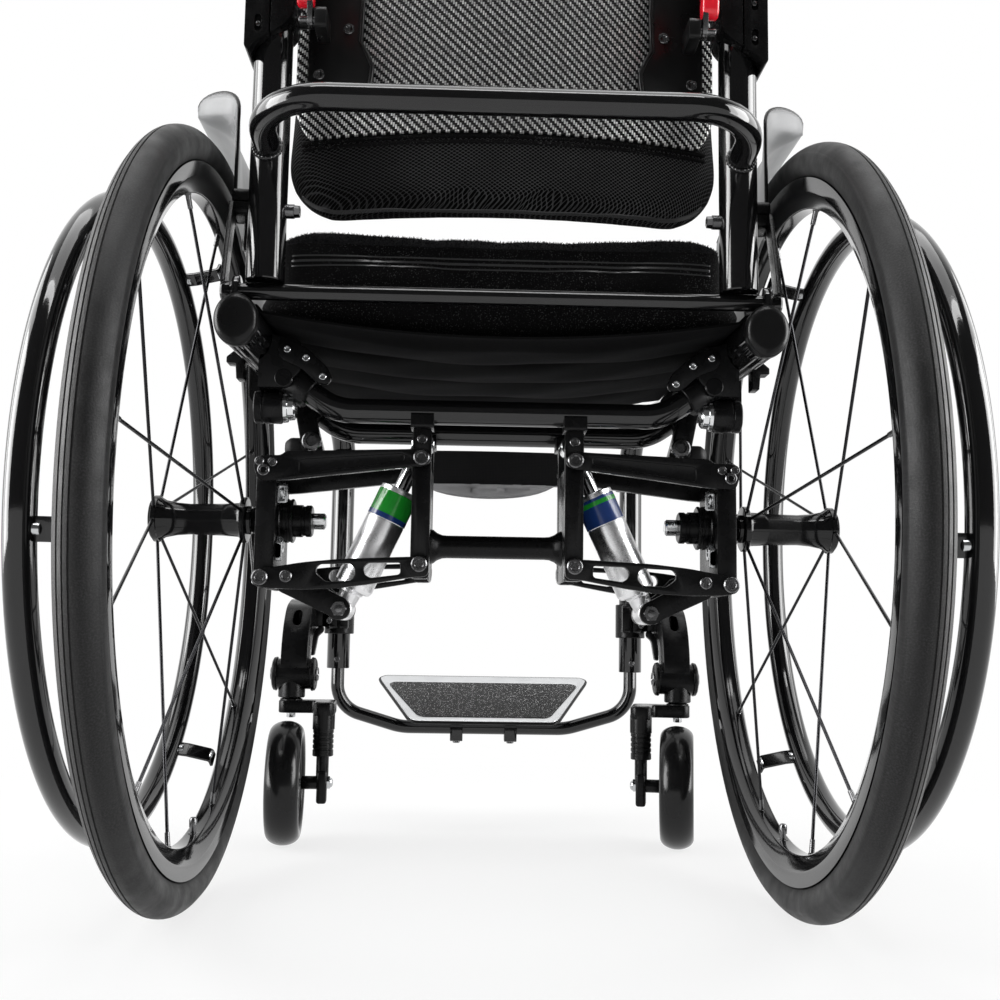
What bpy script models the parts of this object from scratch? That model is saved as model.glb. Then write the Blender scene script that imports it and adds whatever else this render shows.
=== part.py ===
"""Rigid wheelchair with sprung rear wheels and one-sided casters. Metres, +Z up, the chair faces +Y.
Positions in this file are measured from the point on the floor under the rear axle; place() moves
them so that the middle of the chair's footprint is the origin. L is the chair's left, at -X."""
import math

import bmesh
import bpy
import numpy as np
from mathutils import Matrix, Vector

# Overall
AXLE_Y = -0.0972          # where the rear axle stands, from the middle of the footprint
WHEEL_R = 0.295           # rear wheel, over the tyre
SEAT_Z = WHEEL_R + 0.1315 # side rail centre at its rear end
SEAT_RISE = 2.5           # degrees that the seat rises towards the front
TRACK = 0.2335            # middle of the rear tyre, from the middle of the chair
RAIL_X = TRACK - 0.0455   # side rail centre
RAIL_BACK = -0.105
RAIL_WIDE = 0.030
RAIL_HIGH = 0.036
LEG_X = RAIL_X - 0.0255
LEG_Y = 0.400
LEG_D = 0.025
LEG_BEND = 0.045          # radius of the front bend
TAPER_Y = 0.300           # from here forward the rail turns in towards the leg
LEG_END_Z = 0.169
GAP = 0.0004              # left between two pieces that touch

# Rear wheels
TYRE_WIDE = 0.028
TYRE_DEEP = 0.025
RIM_R = WHEEL_R - TYRE_DEEP   # tyre seat
RIM_DEEP = 0.023
RIM_WIDE = 0.023
HANDRIM_R = RIM_R - 0.032
HANDRIM_D = 0.0196
HANDRIM_OUT = 0.0485      # handrim centre, outboard of the middle of the tyre
HUB_IN = 0.0425           # hub's inner end, inboard of the middle of the tyre
HUB_OUT = 0.0350
AXLE_D = 0.0127
BUTTON_PRESS = 0.003

# Suspension: four pivots that make a parallelogram, and the shock's two eyes
PIVOT_A = (0.0580, WHEEL_R + 0.0455)    # upper arm on the carrier
PIVOT_B = (0.0580, WHEEL_R - 0.0347)    # lower arm on the carrier
ARM_REACH = (TRACK - HUB_IN - 0.0155 - PIVOT_A[0], -0.0118)
SHOCK_LOW = (0.1188, WHEEL_R - 0.0682)
SHOCK_TOP = (0.0585, WHEEL_R + 0.0630)
PIN_D = 0.008
SHOCK_D = 0.031
ROD_D = 0.0124
CARRIER_DEEP = 0.039          # half depth of the carrier
UPRIGHT_DEEP = 0.034
UPRIGHT_WIDE = 0.015

# Cross tubes
CROSS_D = 0.019
CROSS_REAR = (-0.035, SEAT_Z - 0.0495)
CROSS_FRONT = (0.045, SEAT_Z - 0.0525)
CROSS_BEND_X = RAIL_X - 0.063
CROSS_END = (RAIL_X - 0.020, SEAT_Z - 0.0200)

# Casters
CASTER_X = LEG_X + 0.0385
CASTER_Y = 0.318
CASTER_R = 0.060
CASTER_WIDE = 0.033
TRAIL = 0.045
FORK_LEG = 0.036              # caster leg, inboard of its stem
CASTER_TRAVEL = 0.008
CASTER_YAW = {"L": 4.0, "R": -11.0}   # degrees, as they stand in the photo

# Footrest
FOOT_TUBE_D = 0.0145
FOOT_TUBE_Z = 0.105
FOOT_TILT = 23.0
FOOT_NEAR = (0.385, 0.107)
FOOT_LONG = 0.114
FOOT_NEAR_HALF = 0.081
FOOT_FAR_HALF = 0.121

# Back
CANE_X = RAIL_X - 0.016
CANE_Y = -0.0925
CANE_D = 0.028
HINGE_Y = -0.090
HINGE_Z = SEAT_Z + 0.026
HINGE_D = 0.012
SHELL_HALF = CANE_X - 0.014
SHELL_LOW = SEAT_Z + 0.1485
SHELL_TOP = SHELL_LOW + 0.225
CANE_TOP = SHELL_TOP - 0.025
SHELL_CURVE = 0.028
PUSH_BACK = -0.170
PUSH_Z = SEAT_Z + 0.1375
PUSH_D = 0.019

# Soft parts
CUSHION_HALF = RAIL_X - 0.018
CUSHION_FRONT = 0.335
CUSHION_BACK = -0.070
CUSHION_TOP = 0.0835          # above the rail centre line

SIDES = {"L": -1.0, "R": 1.0}
SMALL, ROUND, WHEEL = 8, 12, 32


def rail_z(y):
    return SEAT_Z + (y - RAIL_BACK) * math.tan(math.radians(SEAT_RISE))


def material(name, colour, rough=0.4, metal=0.0):
    made = bpy.data.materials.get(name)
    if made:
        return made
    made = bpy.data.materials.new(name)
    made.use_nodes = True
    shader = made.node_tree.nodes["Principled BSDF"]
    shader.inputs["Base Color"].default_value = (*colour, 1.0)
    shader.inputs["Roughness"].default_value = rough
    shader.inputs["Metallic"].default_value = metal
    made.diffuse_color = (*colour, 1.0)
    return made


def solid(points, faces):
    """A hidden helper object from points and faces, its normals facing out."""
    mesh = bpy.data.meshes.new("solid")
    mesh.from_pydata([tuple(p) for p in points], [], faces)
    shape = bmesh.new()
    shape.from_mesh(mesh)
    bmesh.ops.remove_doubles(shape, verts=shape.verts, dist=1e-6)
    bmesh.ops.recalc_face_normals(shape, faces=shape.faces)
    if shape.calc_volume(signed=True) < 0:
        bmesh.ops.reverse_faces(shape, faces=shape.faces)
    shape.to_mesh(mesh)
    shape.free()
    made = bpy.data.objects.new("solid", mesh)
    bpy.context.scene.collection.objects.link(made)
    made.hide_render = True
    made.display_type = "WIRE"
    return made


def combine(base, others, operation):
    """base with the others joined to it or cut from it, one after the other."""
    for other in others:
        step = base.modifiers.new("step", "BOOLEAN")
        step.operation = operation
        step.solver = "EXACT"
        step.object = other
        graph = bpy.context.evaluated_depsgraph_get()
        mesh = bpy.data.meshes.new_from_object(base.evaluated_get(graph))
        base.modifiers.remove(step)
        base.data = mesh
        bpy.data.objects.remove(other)
    return base


def fuse(base, *others):
    return combine(base, others, "UNION")


def cut(base, *others):
    return combine(base, others, "DIFFERENCE")


def round_edges(base, width, steps=1, angle=35):
    """base with a bevel on its sharp edges."""
    bevel = base.modifiers.new("bevel", "BEVEL")
    bevel.width = width
    bevel.segments = steps
    bevel.limit_method = "ANGLE"
    bevel.angle_limit = math.radians(angle)
    graph = bpy.context.evaluated_depsgraph_get()
    mesh = bpy.data.meshes.new_from_object(base.evaluated_get(graph))
    base.modifiers.remove(bevel)
    base.data = mesh
    return base


def place(base, name, look, origin=(0, 0, 0)):
    """The helper becomes the named piece, with its own origin, in the shared frame."""
    shift = Vector((0, AXLE_Y, 0))
    origin = Vector(origin)
    base.data.transform(Matrix.Translation(-origin))
    base.location = origin + shift
    base.name = name
    base.data.name = name
    base.hide_render = False
    base.display_type = "TEXTURED"
    base.data.materials.clear()
    base.data.materials.append(look)
    return base


def arc_path(corners, radii, steps=5):
    """The corners as a path, each inner corner rounded to its radius."""
    corners = [Vector(c) for c in corners]
    path = [corners[0]]
    for before, here, after, radius in zip(corners, corners[1:], corners[2:], radii):
        back = (before - here).normalized()
        on = (after - here).normalized()
        half = back.angle(on) / 2
        reach = radius / math.tan(half)
        centre = here + (back + on).normalized() * (radius / math.sin(half))
        first = here + back * reach - centre
        last = here + on * reach - centre
        turn = first.angle(last)
        for k in range(steps + 1):
            share = k / steps
            a = math.sin((1 - share) * turn) / math.sin(turn)
            b = math.sin(share * turn) / math.sin(turn)
            path.append(centre + first * a + last * b)
    path.append(corners[-1])
    return path


def sweep(path, section, side=(1, 0, 0), scale=None):
    """The closed section, pairs along side and up, carried along the path."""
    path = [Vector(p) for p in path]
    side = Vector(side)
    rings = []
    for k, here in enumerate(path):
        before = path[max(k - 1, 0)]
        after = path[min(k + 1, len(path) - 1)]
        along = ((after - here).normalized() if k < len(path) - 1 else Vector()) + (
            (here - before).normalized() if k else Vector()
        )
        along.normalize()
        side = (side - along * side.dot(along)).normalized()
        up = side.cross(along)
        wide, high = scale[k] if scale else (1, 1)
        rings.append([here + side * (a * wide) + up * (b * high) for a, b in section])
    n = len(section)
    points = [p for ring in rings for p in ring]
    faces = [list(range(n)), list(range(len(points) - n, len(points)))]
    for k in range(len(rings) - 1):
        for j in range(n):
            i = (j + 1) % n
            faces.append([k * n + j, k * n + i, (k + 1) * n + i, (k + 1) * n + j])
    return solid(points, faces)


def circle(radius, sides=SMALL, wide=1.0, high=1.0, turn=0.5):
    steps = [2 * math.pi * (k + turn) / sides for k in range(sides)]
    return [(radius * wide * math.cos(t), radius * high * math.sin(t)) for t in steps]


def tube(path, radius, sides=SMALL, side=(1, 0, 0)):
    return sweep(path, circle(radius, sides), side)


def rod(start, end, radius, sides=SMALL):
    way = Vector(end) - Vector(start)
    side = (0, 1, 0) if abs(way.x) > 0.5 * way.length else (1, 0, 0)
    return tube([start, end], radius, sides, side)


def turned(profile, sides, centre, axis="X", ring=False):
    """Pairs of (distance along the axis, radius) turned round it. A ring's profile closes on itself."""
    points, faces = [], []
    frames = {"X": ((0, 1, 0), (0, 0, 1), (1, 0, 0)), "Z": ((1, 0, 0), (0, 1, 0), (0, 0, 1))}
    frames["Y"] = ((0, 0, 1), (1, 0, 0), (0, 1, 0))
    first, second, along = (Vector(v) for v in frames[axis])
    n = len(profile)
    for k in range(sides):
        t = 2 * math.pi * k / sides
        out = first * math.cos(t) + second * math.sin(t)
        points += [Vector(centre) + along * h + out * r for h, r in profile]
    for k in range(sides):
        a, b = k * n, (k + 1) % sides * n
        for j in range(n if ring else n - 1):
            i = (j + 1) % n
            faces.append([a + j, b + j, b + i, a + i])
    if not ring:
        faces.append([k * n for k in range(sides)])
        faces.append([k * n + n - 1 for k in range(sides)])
    return solid(points, faces)


def slab(outline, low, high, axis="Y"):
    """A flat outline given thickness: in XZ along Y, in YZ along X or in XY along Z."""
    spot = {
        "X": lambda a, b, c: (c, a, b),
        "Y": lambda a, b, c: (a, c, b),
        "Z": lambda a, b, c: (a, b, c),
    }[axis]
    n = len(outline)
    points = [spot(a, b, low) for a, b in outline] + [spot(a, b, high) for a, b in outline]
    faces = [list(range(n)), list(range(n, 2 * n))]
    faces += [[j, (j + 1) % n, n + (j + 1) % n, n + j] for j in range(n)]
    return solid(points, faces)


def block(x, y, z):
    """A box from three (low, high) pairs."""
    return slab([(x[0], y[0]), (x[1], y[0]), (x[1], y[1]), (x[0], y[1])], z[0], z[1], "Z")


def capsule(start, end, radius, steps=4):
    """The outline round two points in a plane."""
    start, end = Vector(start), Vector(end)
    tilt = math.atan2(end.y - start.y, end.x - start.x)
    outline = []
    for centre, first in ((end, tilt - math.pi / 2), (start, tilt + math.pi / 2)):
        for k in range(steps + 1):
            t = first + math.pi * k / steps
            outline.append((centre.x + radius * math.cos(t), centre.y + radius * math.sin(t)))
    return outline


def thick_sheet(grid, thickness):
    """A grid of points as a sheet with its own thickness, half on each side."""
    grid = np.array([[tuple(p) for p in row] for row in grid], float)
    rows, columns = grid.shape[:2]
    normal = np.cross(np.gradient(grid, axis=0), np.gradient(grid, axis=1))
    normal /= np.linalg.norm(normal, axis=2, keepdims=True)
    both = [grid + normal * thickness / 2, grid - normal * thickness / 2]
    points = np.concatenate([side.reshape(-1, 3) for side in both])
    count = rows * columns
    faces = []
    for i in range(rows - 1):
        for j in range(columns - 1):
            a = i * columns + j
            quad = [a, a + 1, a + columns + 1, a + columns]
            faces.append(quad)
            faces.append([count + q for q in reversed(quad)])
    rim = [j for j in range(columns)]
    rim += [i * columns + columns - 1 for i in range(1, rows)]
    rim += [(rows - 1) * columns + j for j in range(columns - 2, -1, -1)]
    rim += [i * columns for i in range(rows - 2, 0, -1)]
    for a, b in zip(rim, rim[1:] + rim[:1]):
        faces.append([a, b, count + b, count + a])
    return solid(points, faces)


def pillow(spot, across, along, square=4.0):
    """A closed pad. spot(u, v, w) gives a point for u, v and w from -1 to 1."""
    us = [math.sin(math.pi * (k / across - 0.5)) for k in range(across + 1)]
    vs = [math.sin(math.pi * (k / along - 0.5)) for k in range(along + 1)]
    def full(t):
        return max(0.0, 1 - abs(t) ** square) ** (1 / square)
    points, faces = [], []
    for sign in (1, -1):
        for u in us:
            points += [spot(u, v, sign * full(u) * full(v)) for v in vs]
    count = len(us) * len(vs)
    for i in range(across):
        for j in range(along):
            a = i * (along + 1) + j
            quad = [a, a + 1, a + along + 2, a + along + 1]
            faces.append(quad)
            faces.append([count + q for q in reversed(quad)])
    return solid(points, faces)


def corner_half(half, distance, radius):
    """Half width of a rectangle with round corners, this far in from its end."""
    inside = max(0.0, radius - distance)
    return half - radius + math.sqrt(radius ** 2 - inside ** 2)


def turn_about(base, angle, centre):
    """base turned about a vertical line through centre."""
    spot = Matrix.Translation(Vector(centre))
    base.data.transform(spot @ Matrix.Rotation(math.radians(angle), 4, "Z") @ spot.inverted())
    return base


def mirror(pairs, s):
    return [(s * a, b) for a, b in pairs]


BLACK = material("gloss_black", (0.012, 0.012, 0.013), 0.18)
SATIN = material("satin_black", (0.02, 0.02, 0.021), 0.42)
TYRE = material("tyre_rubber", (0.05, 0.05, 0.052), 0.75)
SILVER = material("polished_aluminium", (0.72, 0.73, 0.74), 0.22, 1.0)
PALE = material("pale_aluminium", (0.62, 0.63, 0.64), 0.35, 1.0)
GRIP = material("grip_pad", (0.09, 0.09, 0.09), 0.95)
CLOTH = material("seat_cloth", (0.012, 0.012, 0.013), 0.9)
MESH = material("back_mesh", (0.015, 0.015, 0.016), 0.85)
CARBON = material("carbon_twill", (0.16, 0.16, 0.16), 0.3)
RED = material("red_lever", (0.75, 0.01, 0.03), 0.3)
GUARD = material("guard_grey", (0.25, 0.26, 0.27), 0.35)
PAD = material("caster_rubber", (0.015, 0.015, 0.016), 0.35)


def clear_scene():
    for made in list(bpy.data.objects):
        bpy.data.objects.remove(made, do_unlink=True)


def cross_path(y, z):
    end_x, end_z = CROSS_END
    end_z += z - CROSS_REAR[1]
    corners = [(-end_x, y, end_z), (-CROSS_BEND_X, y, z), (CROSS_BEND_X, y, z), (end_x, y, end_z)]
    return arc_path(corners, [0.045, 0.045], 4)


def side_frame(label, s):
    """Side rail, front bend and front leg in one tube, with the hinge lug at the back."""
    front = rail_z(LEG_Y)
    corners = [
        (s * RAIL_X, RAIL_BACK, SEAT_Z),
        (s * RAIL_X, TAPER_Y, rail_z(TAPER_Y)),
        (s * LEG_X, LEG_Y, front),
        (s * LEG_X, LEG_Y, LEG_END_Z),
    ]
    path = arc_path(corners, [0.15, LEG_BEND], 5)
    scale = []
    for p in path:
        t = min(1.0, max(0.0, (p.y - TAPER_Y) / (LEG_Y - TAPER_Y - 0.02)))
        wide = RAIL_WIDE / 2 + t * (LEG_D - RAIL_WIDE) / 2
        high = RAIL_HIGH / 2 + t * (LEG_D - RAIL_HIGH) / 2
        scale.append((wide, high))
    base = sweep(path, circle(1.0, ROUND), (1, 0, 0), scale)
    lug_x = sorted((s * (RAIL_X + 0.0015), s * (RAIL_X + 0.0065)))
    lug = slab(capsule((HINGE_Y, SEAT_Z), (HINGE_Y, HINGE_Z), 0.0115), *lug_x, "X")
    fuse(base, lug)
    bore = rod((s * 0.10, HINGE_Y, HINGE_Z), (s * 0.25, HINGE_Y, HINGE_Z), HINGE_D / 2 + GAP, ROUND)
    socket = rod(
        (s * LEG_X, LEG_Y, LEG_END_Z - 0.01),
        (s * LEG_X, LEG_Y, LEG_END_Z + 0.025),
        FOOT_TUBE_D / 2 + GAP,
        ROUND,
    )
    cut(base, bore, socket)
    place(base, f"side_frame_{label}", BLACK)
    plug = turned([(-0.0100, 0.80), (-0.0085, 0.98), (-0.0070, 1.04), (-GAP, 1.04)], ROUND, (0, 0, 0), "Y")
    shape = Matrix.Diagonal((RAIL_WIDE / 2, 1, RAIL_HIGH / 2, 1))
    plug.data.transform(shape)
    lean = Matrix.Rotation(math.radians(SEAT_RISE), 4, "X")
    plug.data.transform(Matrix.Translation((s * RAIL_X, RAIL_BACK, SEAT_Z)) @ lean)
    place(plug, f"rail_cap_{label}", SATIN)


def rail_clamp(label, s):
    """Block round the rail's lower half that holds both cross tubes, with the bump stop under it."""
    x, rail = RAIL_X, SEAT_Z
    outline = [
        (x - 0.038, rail - 0.0225), (x - 0.025, rail - 0.0355), (x + 0.008, rail - 0.0355),
        (x + 0.0165, rail - 0.0265), (x + 0.0165, rail + 0.0135), (x + 0.013, rail + 0.0180),
        (x - 0.016, rail + 0.0055), (x - 0.034, rail + 0.0020), (x - 0.038, rail - 0.0015),
    ]
    base = slab(mirror(outline, s), -0.050, 0.060)
    end_x, end_z = CROSS_END
    away = Vector((CROSS_END[0] - CROSS_BEND_X, CROSS_END[1] - CROSS_REAR[1])).normalized()
    sleeve_low = Vector((end_x, end_z)) - away * 0.030
    sleeve_high = Vector((end_x, end_z)) - away * 0.004
    sleeves = []
    for y, z in (CROSS_REAR, CROSS_FRONT):
        drop = z - CROSS_REAR[1]
        start = (s * sleeve_low.x, y, sleeve_low.y + drop)
        end = (s * sleeve_high.x, y, sleeve_high.y + drop)
        sleeves.append(rod(start, end, CROSS_D / 2 + 0.0040, ROUND))
    hanger = [
        (x - 0.049, rail - 0.0740), (x - 0.032, rail - 0.0740), (x - 0.024, rail - 0.0345),
        (x - 0.038, rail - 0.0345),
    ]
    hanger = slab(mirror(hanger, s), 0.013, 0.031)
    nose = rod(*[(s * (x - 0.040), y, rail - 0.0663) for y in (0.0130, 0.0060)], 0.0078, ROUND)
    knob = turned(
        [(-0.006, 0.0060), (-0.003, 0.0085), (0.006, 0.0085), (0.010, 0.005)],
        ROUND,
        (s * (x - 0.0275), 0.022, rail - 0.0705),
        "X",
    )
    fuse(base, *sleeves, hanger, nose, knob)
    bore = sweep(
        [(s * x, -0.10, rail_z(-0.10)), (s * x, 0.10, rail_z(0.10))],
        circle(1.0, ROUND, RAIL_WIDE / 2 + GAP, RAIL_HIGH / 2 + GAP),
    )
    cuts = [bore]
    for y, z in (CROSS_REAR, CROSS_FRONT):
        path = cross_path(y, z)
        half = path[-3:] if s > 0 else path[:3]
        ends = [Vector(p) for p in half]
        tip = 2 if s > 0 else 0
        way = (ends[2] - ends[1] if s > 0 else ends[0] - ends[1]).normalized()
        ends[tip] = ends[tip] + way * 0.0008
        cuts.append(tube([ends[1], ends[tip]], CROSS_D / 2 + GAP, ROUND, (0, 1, 0)))
    cut(base, *cuts)
    place(base, f"rail_clamp_{label}", SATIN)


def cross_tubes():
    for name, (y, z) in (("cross_tube_rear", CROSS_REAR), ("cross_tube_front", CROSS_FRONT)):
        place(tube(cross_path(y, z), CROSS_D / 2, ROUND, (0, 1, 0)), name, BLACK)


def suspension_carrier():
    """Two channels hung from the cross tubes, with the tube that ties them together."""
    a, b, d = Vector(PIVOT_A), Vector(PIVOT_B), CARRIER_DEEP
    base = rod((-a.x + 0.006, 0, b.y + 0.0165), (a.x - 0.006, 0, b.y + 0.0165), 0.0089, ROUND)
    for s in (-1, 1):
        def low_high(inner, outer):
            return tuple(sorted((s * inner, s * outer)))
        pieces = []
        channel = low_high(a.x - 0.0070, a.x + 0.0072)
        for y in ((-d, -d + 0.012), (d - 0.012, d)):
            pieces.append(block(channel, y, (b.y - 0.0105, a.y + 0.0245)))
        web = low_high(a.x - 0.0067, a.x - 0.0050)
        pieces.append(block(web, (-d + 0.006, d - 0.006), (b.y - 0.0100, a.y - 0.0045)))
        flare = turned(
            [(0.0, 0.0142), (0.004, 0.0128), (0.009, 0.0080)],
            ROUND + 3,
            (0, 0, 0),
            "X",
        )
        flip = Matrix.Diagonal((-s, 1, 1, 1))
        flare.data.transform(Matrix.Translation((s * (a.x - 0.0062), 0, b.y + 0.0165)) @ flip)
        if s > 0:
            flare.data.flip_normals()
        pieces.append(flare)
        for y, z in (CROSS_REAR, CROSS_FRONT):
            saddle = [(-0.0120, -0.0135), (0.0120, -0.0135), (0.0110, -0.0020), (-0.0110, -0.0020)]
            outline = [(y + t, z + h) for t, h in saddle]
            pieces.append(slab(outline, *low_high(a.x - 0.0085, a.x + 0.0088), "X"))
        top = Vector(SHOCK_TOP)
        pieces.append(rod((s * top.x, -d + 0.006, top.y), (s * top.x, d - 0.006, top.y), PIN_D / 2))
        fuse(base, *pieces)
        for pivot in (a, b):
            for y in ((-d - 0.01, -d + 0.02), (d - 0.02, d + 0.01)):
                ends = [(s * pivot.x, there, pivot.y) for there in y]
                cut(base, rod(*ends, PIN_D / 2 + 0.0006))
    for y, z in (CROSS_REAR, CROSS_FRONT):
        cut(base, rod((-0.10, y, z), (0.10, y, z), CROSS_D / 2 + GAP, ROUND))
        cut(base, block((-0.10, 0.10), (y - 0.02, y + 0.02), (z - 0.0075, z + 0.02)))
    place(base, "suspension_carrier", SATIN)


def pin_pair(s, pivot, inner, outer, head=0.0062):
    """Two stub pins with heads, front and back, on one pivot line."""
    made = []
    for way in (-1, 1):
        def at(y):
            return (s * pivot[0], way * y, pivot[1])
        made.append(rod(at(inner), at(outer), PIN_D / 2))
        made.append(rod(at(outer - 0.001), at(outer + 0.003), head))
    return made


def suspension(label, s):
    a, b = Vector(PIVOT_A), Vector(PIVOT_B)
    c, d = a + Vector(ARM_REACH), b + Vector(ARM_REACH)
    near, far = 0.0397, 0.0465

    def reach(outline):
        """The outline drawn for a reach of 117.5 mm and a pivot 260.3 mm up, fitted to these."""
        return [(b.x + (x - b.x) * ARM_REACH[0] / 0.1175, b.y + z - 0.2603) for x, z in outline]

    # Upper arm: two tapered bars joined by the outer pin
    bar = [
        (a.x - 0.0055, a.y - 0.0045), (a.x - 0.0072, a.y), (a.x - 0.0055, a.y + 0.0050),
        (a.x, a.y + 0.0070), (a.x + 0.010, a.y + 0.0062), (c.x - 0.0160, c.y + 0.0148),
        (c.x - 0.0120, c.y + 0.0115), (c.x + 0.0035, c.y + 0.0115), (c.x + 0.0085, c.y + 0.0045),
        (c.x + 0.0040, c.y - 0.0085), (c.x - 0.0150, c.y - 0.0070), (a.x + 0.0070, a.y - 0.0070),
        (a.x, a.y - 0.0072),
    ]
    outline = mirror(bar, s)
    base = slab(outline, -far, -near)
    pin = rod((s * c.x, -far - 0.003, c.y), (s * c.x, far + 0.003, c.y), PIN_D / 2)
    fuse(base, pin, slab(outline, near, far), *pin_pair(s, a, CARRIER_DEEP - 0.013, far))
    fuse(base, *pin_pair(s, (c.x, c.y), far - 0.004, far, 0.0045))
    place(base, f"upper_arm_{label}", SATIN, (s * a.x, 0, a.y))

    # Lower arm: two arched plates, the pins, and the inner plates that carry the shock
    plate = [
        (b.x - 0.0070, b.y - 0.0095), (b.x - 0.0072, b.y + 0.0055), (b.x + 0.005, b.y + 0.0055),
        (0.1166, 0.2633), (0.1445, 0.2603), (d.x - 0.0050, d.y + 0.0072), (d.x + 0.0045, d.y + 0.0062),
        (d.x + 0.0075, d.y), (d.x + 0.0045, d.y - 0.0062), (d.x - 0.0057, d.y - 0.0079),
        (0.1463, 0.2399), (0.1222, 0.2409), (0.0956, 0.2445), (b.x + 0.0046, b.y - 0.0098),
    ]
    plate[3:5], plate[10:13] = reach(plate[3:5]), reach(plate[10:13])
    slots = [
        [(0.1345, 0.2560), (0.1320, 0.2592), (0.1095, 0.2600), (0.1055, 0.2565), (0.1055, 0.2510),
         (0.1085, 0.2472), (0.1270, 0.2462), (0.1345, 0.2520)],
        [(0.0995, 0.2570), (0.0960, 0.2606), (0.0730, 0.2612), (0.0720, 0.2600), (0.0720, 0.2535),
         (0.0735, 0.2522), (0.0940, 0.2494), (0.0985, 0.2520)],
    ]
    outline = mirror(plate, s)
    base = slab(outline, -far, -near)
    front = slab(outline, near, far)
    for slot in slots:
        cut(base, slab(mirror(reach(slot), s), -far - 0.01, -near + 0.01))
        cut(front, slab(mirror(reach(slot), s), near - 0.01, far + 0.01))
    e = Vector(SHOCK_LOW)
    wing = [
        (d.x - 0.0100, d.y + 0.0075), (d.x - 0.0100, d.y - 0.0090), (e.x + 0.0090, e.y - 0.0045),
        (e.x + 0.0050, e.y - 0.0078),
        (e.x - 0.0010, e.y - 0.0090), (e.x - 0.0070, e.y - 0.0062), (e.x - 0.0088, e.y),
        (e.x - 0.0065, e.y + 0.0065), (e.x + 0.0102, d.y - 0.0065), (e.x + 0.0232, d.y + 0.0075),
    ]
    spacer = rod(*[(s * (d.x - 0.0193), y, d.y + 0.0011) for y in (-far - 0.003, far + 0.003)], 0.0050)
    pin = rod((s * d.x, -far - 0.003, d.y), (s * d.x, far + 0.003, d.y), PIN_D / 2)
    fuse(base, spacer, front, pin, *pin_pair(s, b, CARRIER_DEEP - 0.013, far))
    fuse(base, *pin_pair(s, (d.x, d.y), far - 0.004, far))
    for y in ((-0.0245, -0.0182), (0.0182, 0.0245)):
        fuse(base, slab(mirror(wing, s), *y))
    fuse(base, rod((s * e.x, -0.0275, e.y), (s * e.x, 0.0275, e.y), PIN_D / 2))
    place(base, f"lower_arm_{label}", SATIN, (s * b.x, 0, b.y))

    # Upright: bar between the arms with the axle receiver
    half = UPRIGHT_WIDE / 2
    base = slab(capsule((s * c.x, c.y), (s * d.x, d.y), half), -UPRIGHT_DEEP, UPRIGHT_DEEP)
    hub_x = TRACK - HUB_IN
    sleeve = turned(
        [
            (hub_x - GAP, 0.0095), (hub_x - 0.0045, 0.0120), (c.x + 0.002, 0.0150),
            (c.x - 0.0170, 0.0150), (c.x - 0.0175, 0.0112), (c.x - 0.0318, 0.0112),
        ],
        ROUND,
        (0, 0, WHEEL_R),
        "X",
    )
    if s < 0:
        sleeve.data.transform(Matrix.Diagonal((-1, 1, 1, 1)))
        sleeve.data.flip_normals()
    fuse(base, sleeve)
    holes = [
        rod((s * (c.x - 0.07), 0, WHEEL_R), (s * (c.x + 0.07), 0, WHEEL_R), AXLE_D / 2 + GAP, ROUND),
        rod((s * d.x, -0.06, d.y), (s * d.x, 0.06, d.y), PIN_D / 2 + 0.0005),
        rod((s * c.x, -0.06, c.y), (s * c.x, 0.06, c.y), PIN_D / 2 + 0.0009),
    ]
    cut(base, *holes)
    place(base, f"upright_{label}", SATIN, (s * d.x, 0, d.y))

    # Shock: body on the lower eye, rod on the top eye
    top = Vector(SHOCK_TOP)
    way = (top - e).normalized()
    length = (top - e).length
    def spot(t):
        return (s * (e.x + way.x * t), 0, e.y + way.y * t)
    base = rod(spot(0.0165), spot(0.1035), SHOCK_D / 2, ROUND)
    neck = rod(spot(0.0), spot(0.022), 0.0085)
    eye = rod((s * e.x, -0.0176, e.y), (s * e.x, 0.0176, e.y), 0.0085, ROUND)
    fuse(base, neck, eye)
    bore = rod((s * e.x, -0.03, e.y), (s * e.x, 0.03, e.y), PIN_D / 2 + 0.0003, ROUND)
    channel = rod(spot(0.070), spot(0.12), ROD_D / 2 + GAP, ROUND)
    cut(base, bore, channel)
    place(base, f"shock_body_{label}", SILVER, (s * e.x, 0, e.y))
    base = rod(spot(0.092), spot(length), ROD_D / 2, ROUND)
    eye = rod((s * top.x, -0.0115, top.y), (s * top.x, 0.0115, top.y), 0.0088, ROUND)
    fuse(base, eye)
    cut(base, rod((s * top.x, -0.03, top.y), (s * top.x, 0.03, top.y), PIN_D / 2 + 0.0012, ROUND))
    place(base, f"shock_rod_{label}", SILVER, (s * top.x, 0, top.y))


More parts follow.
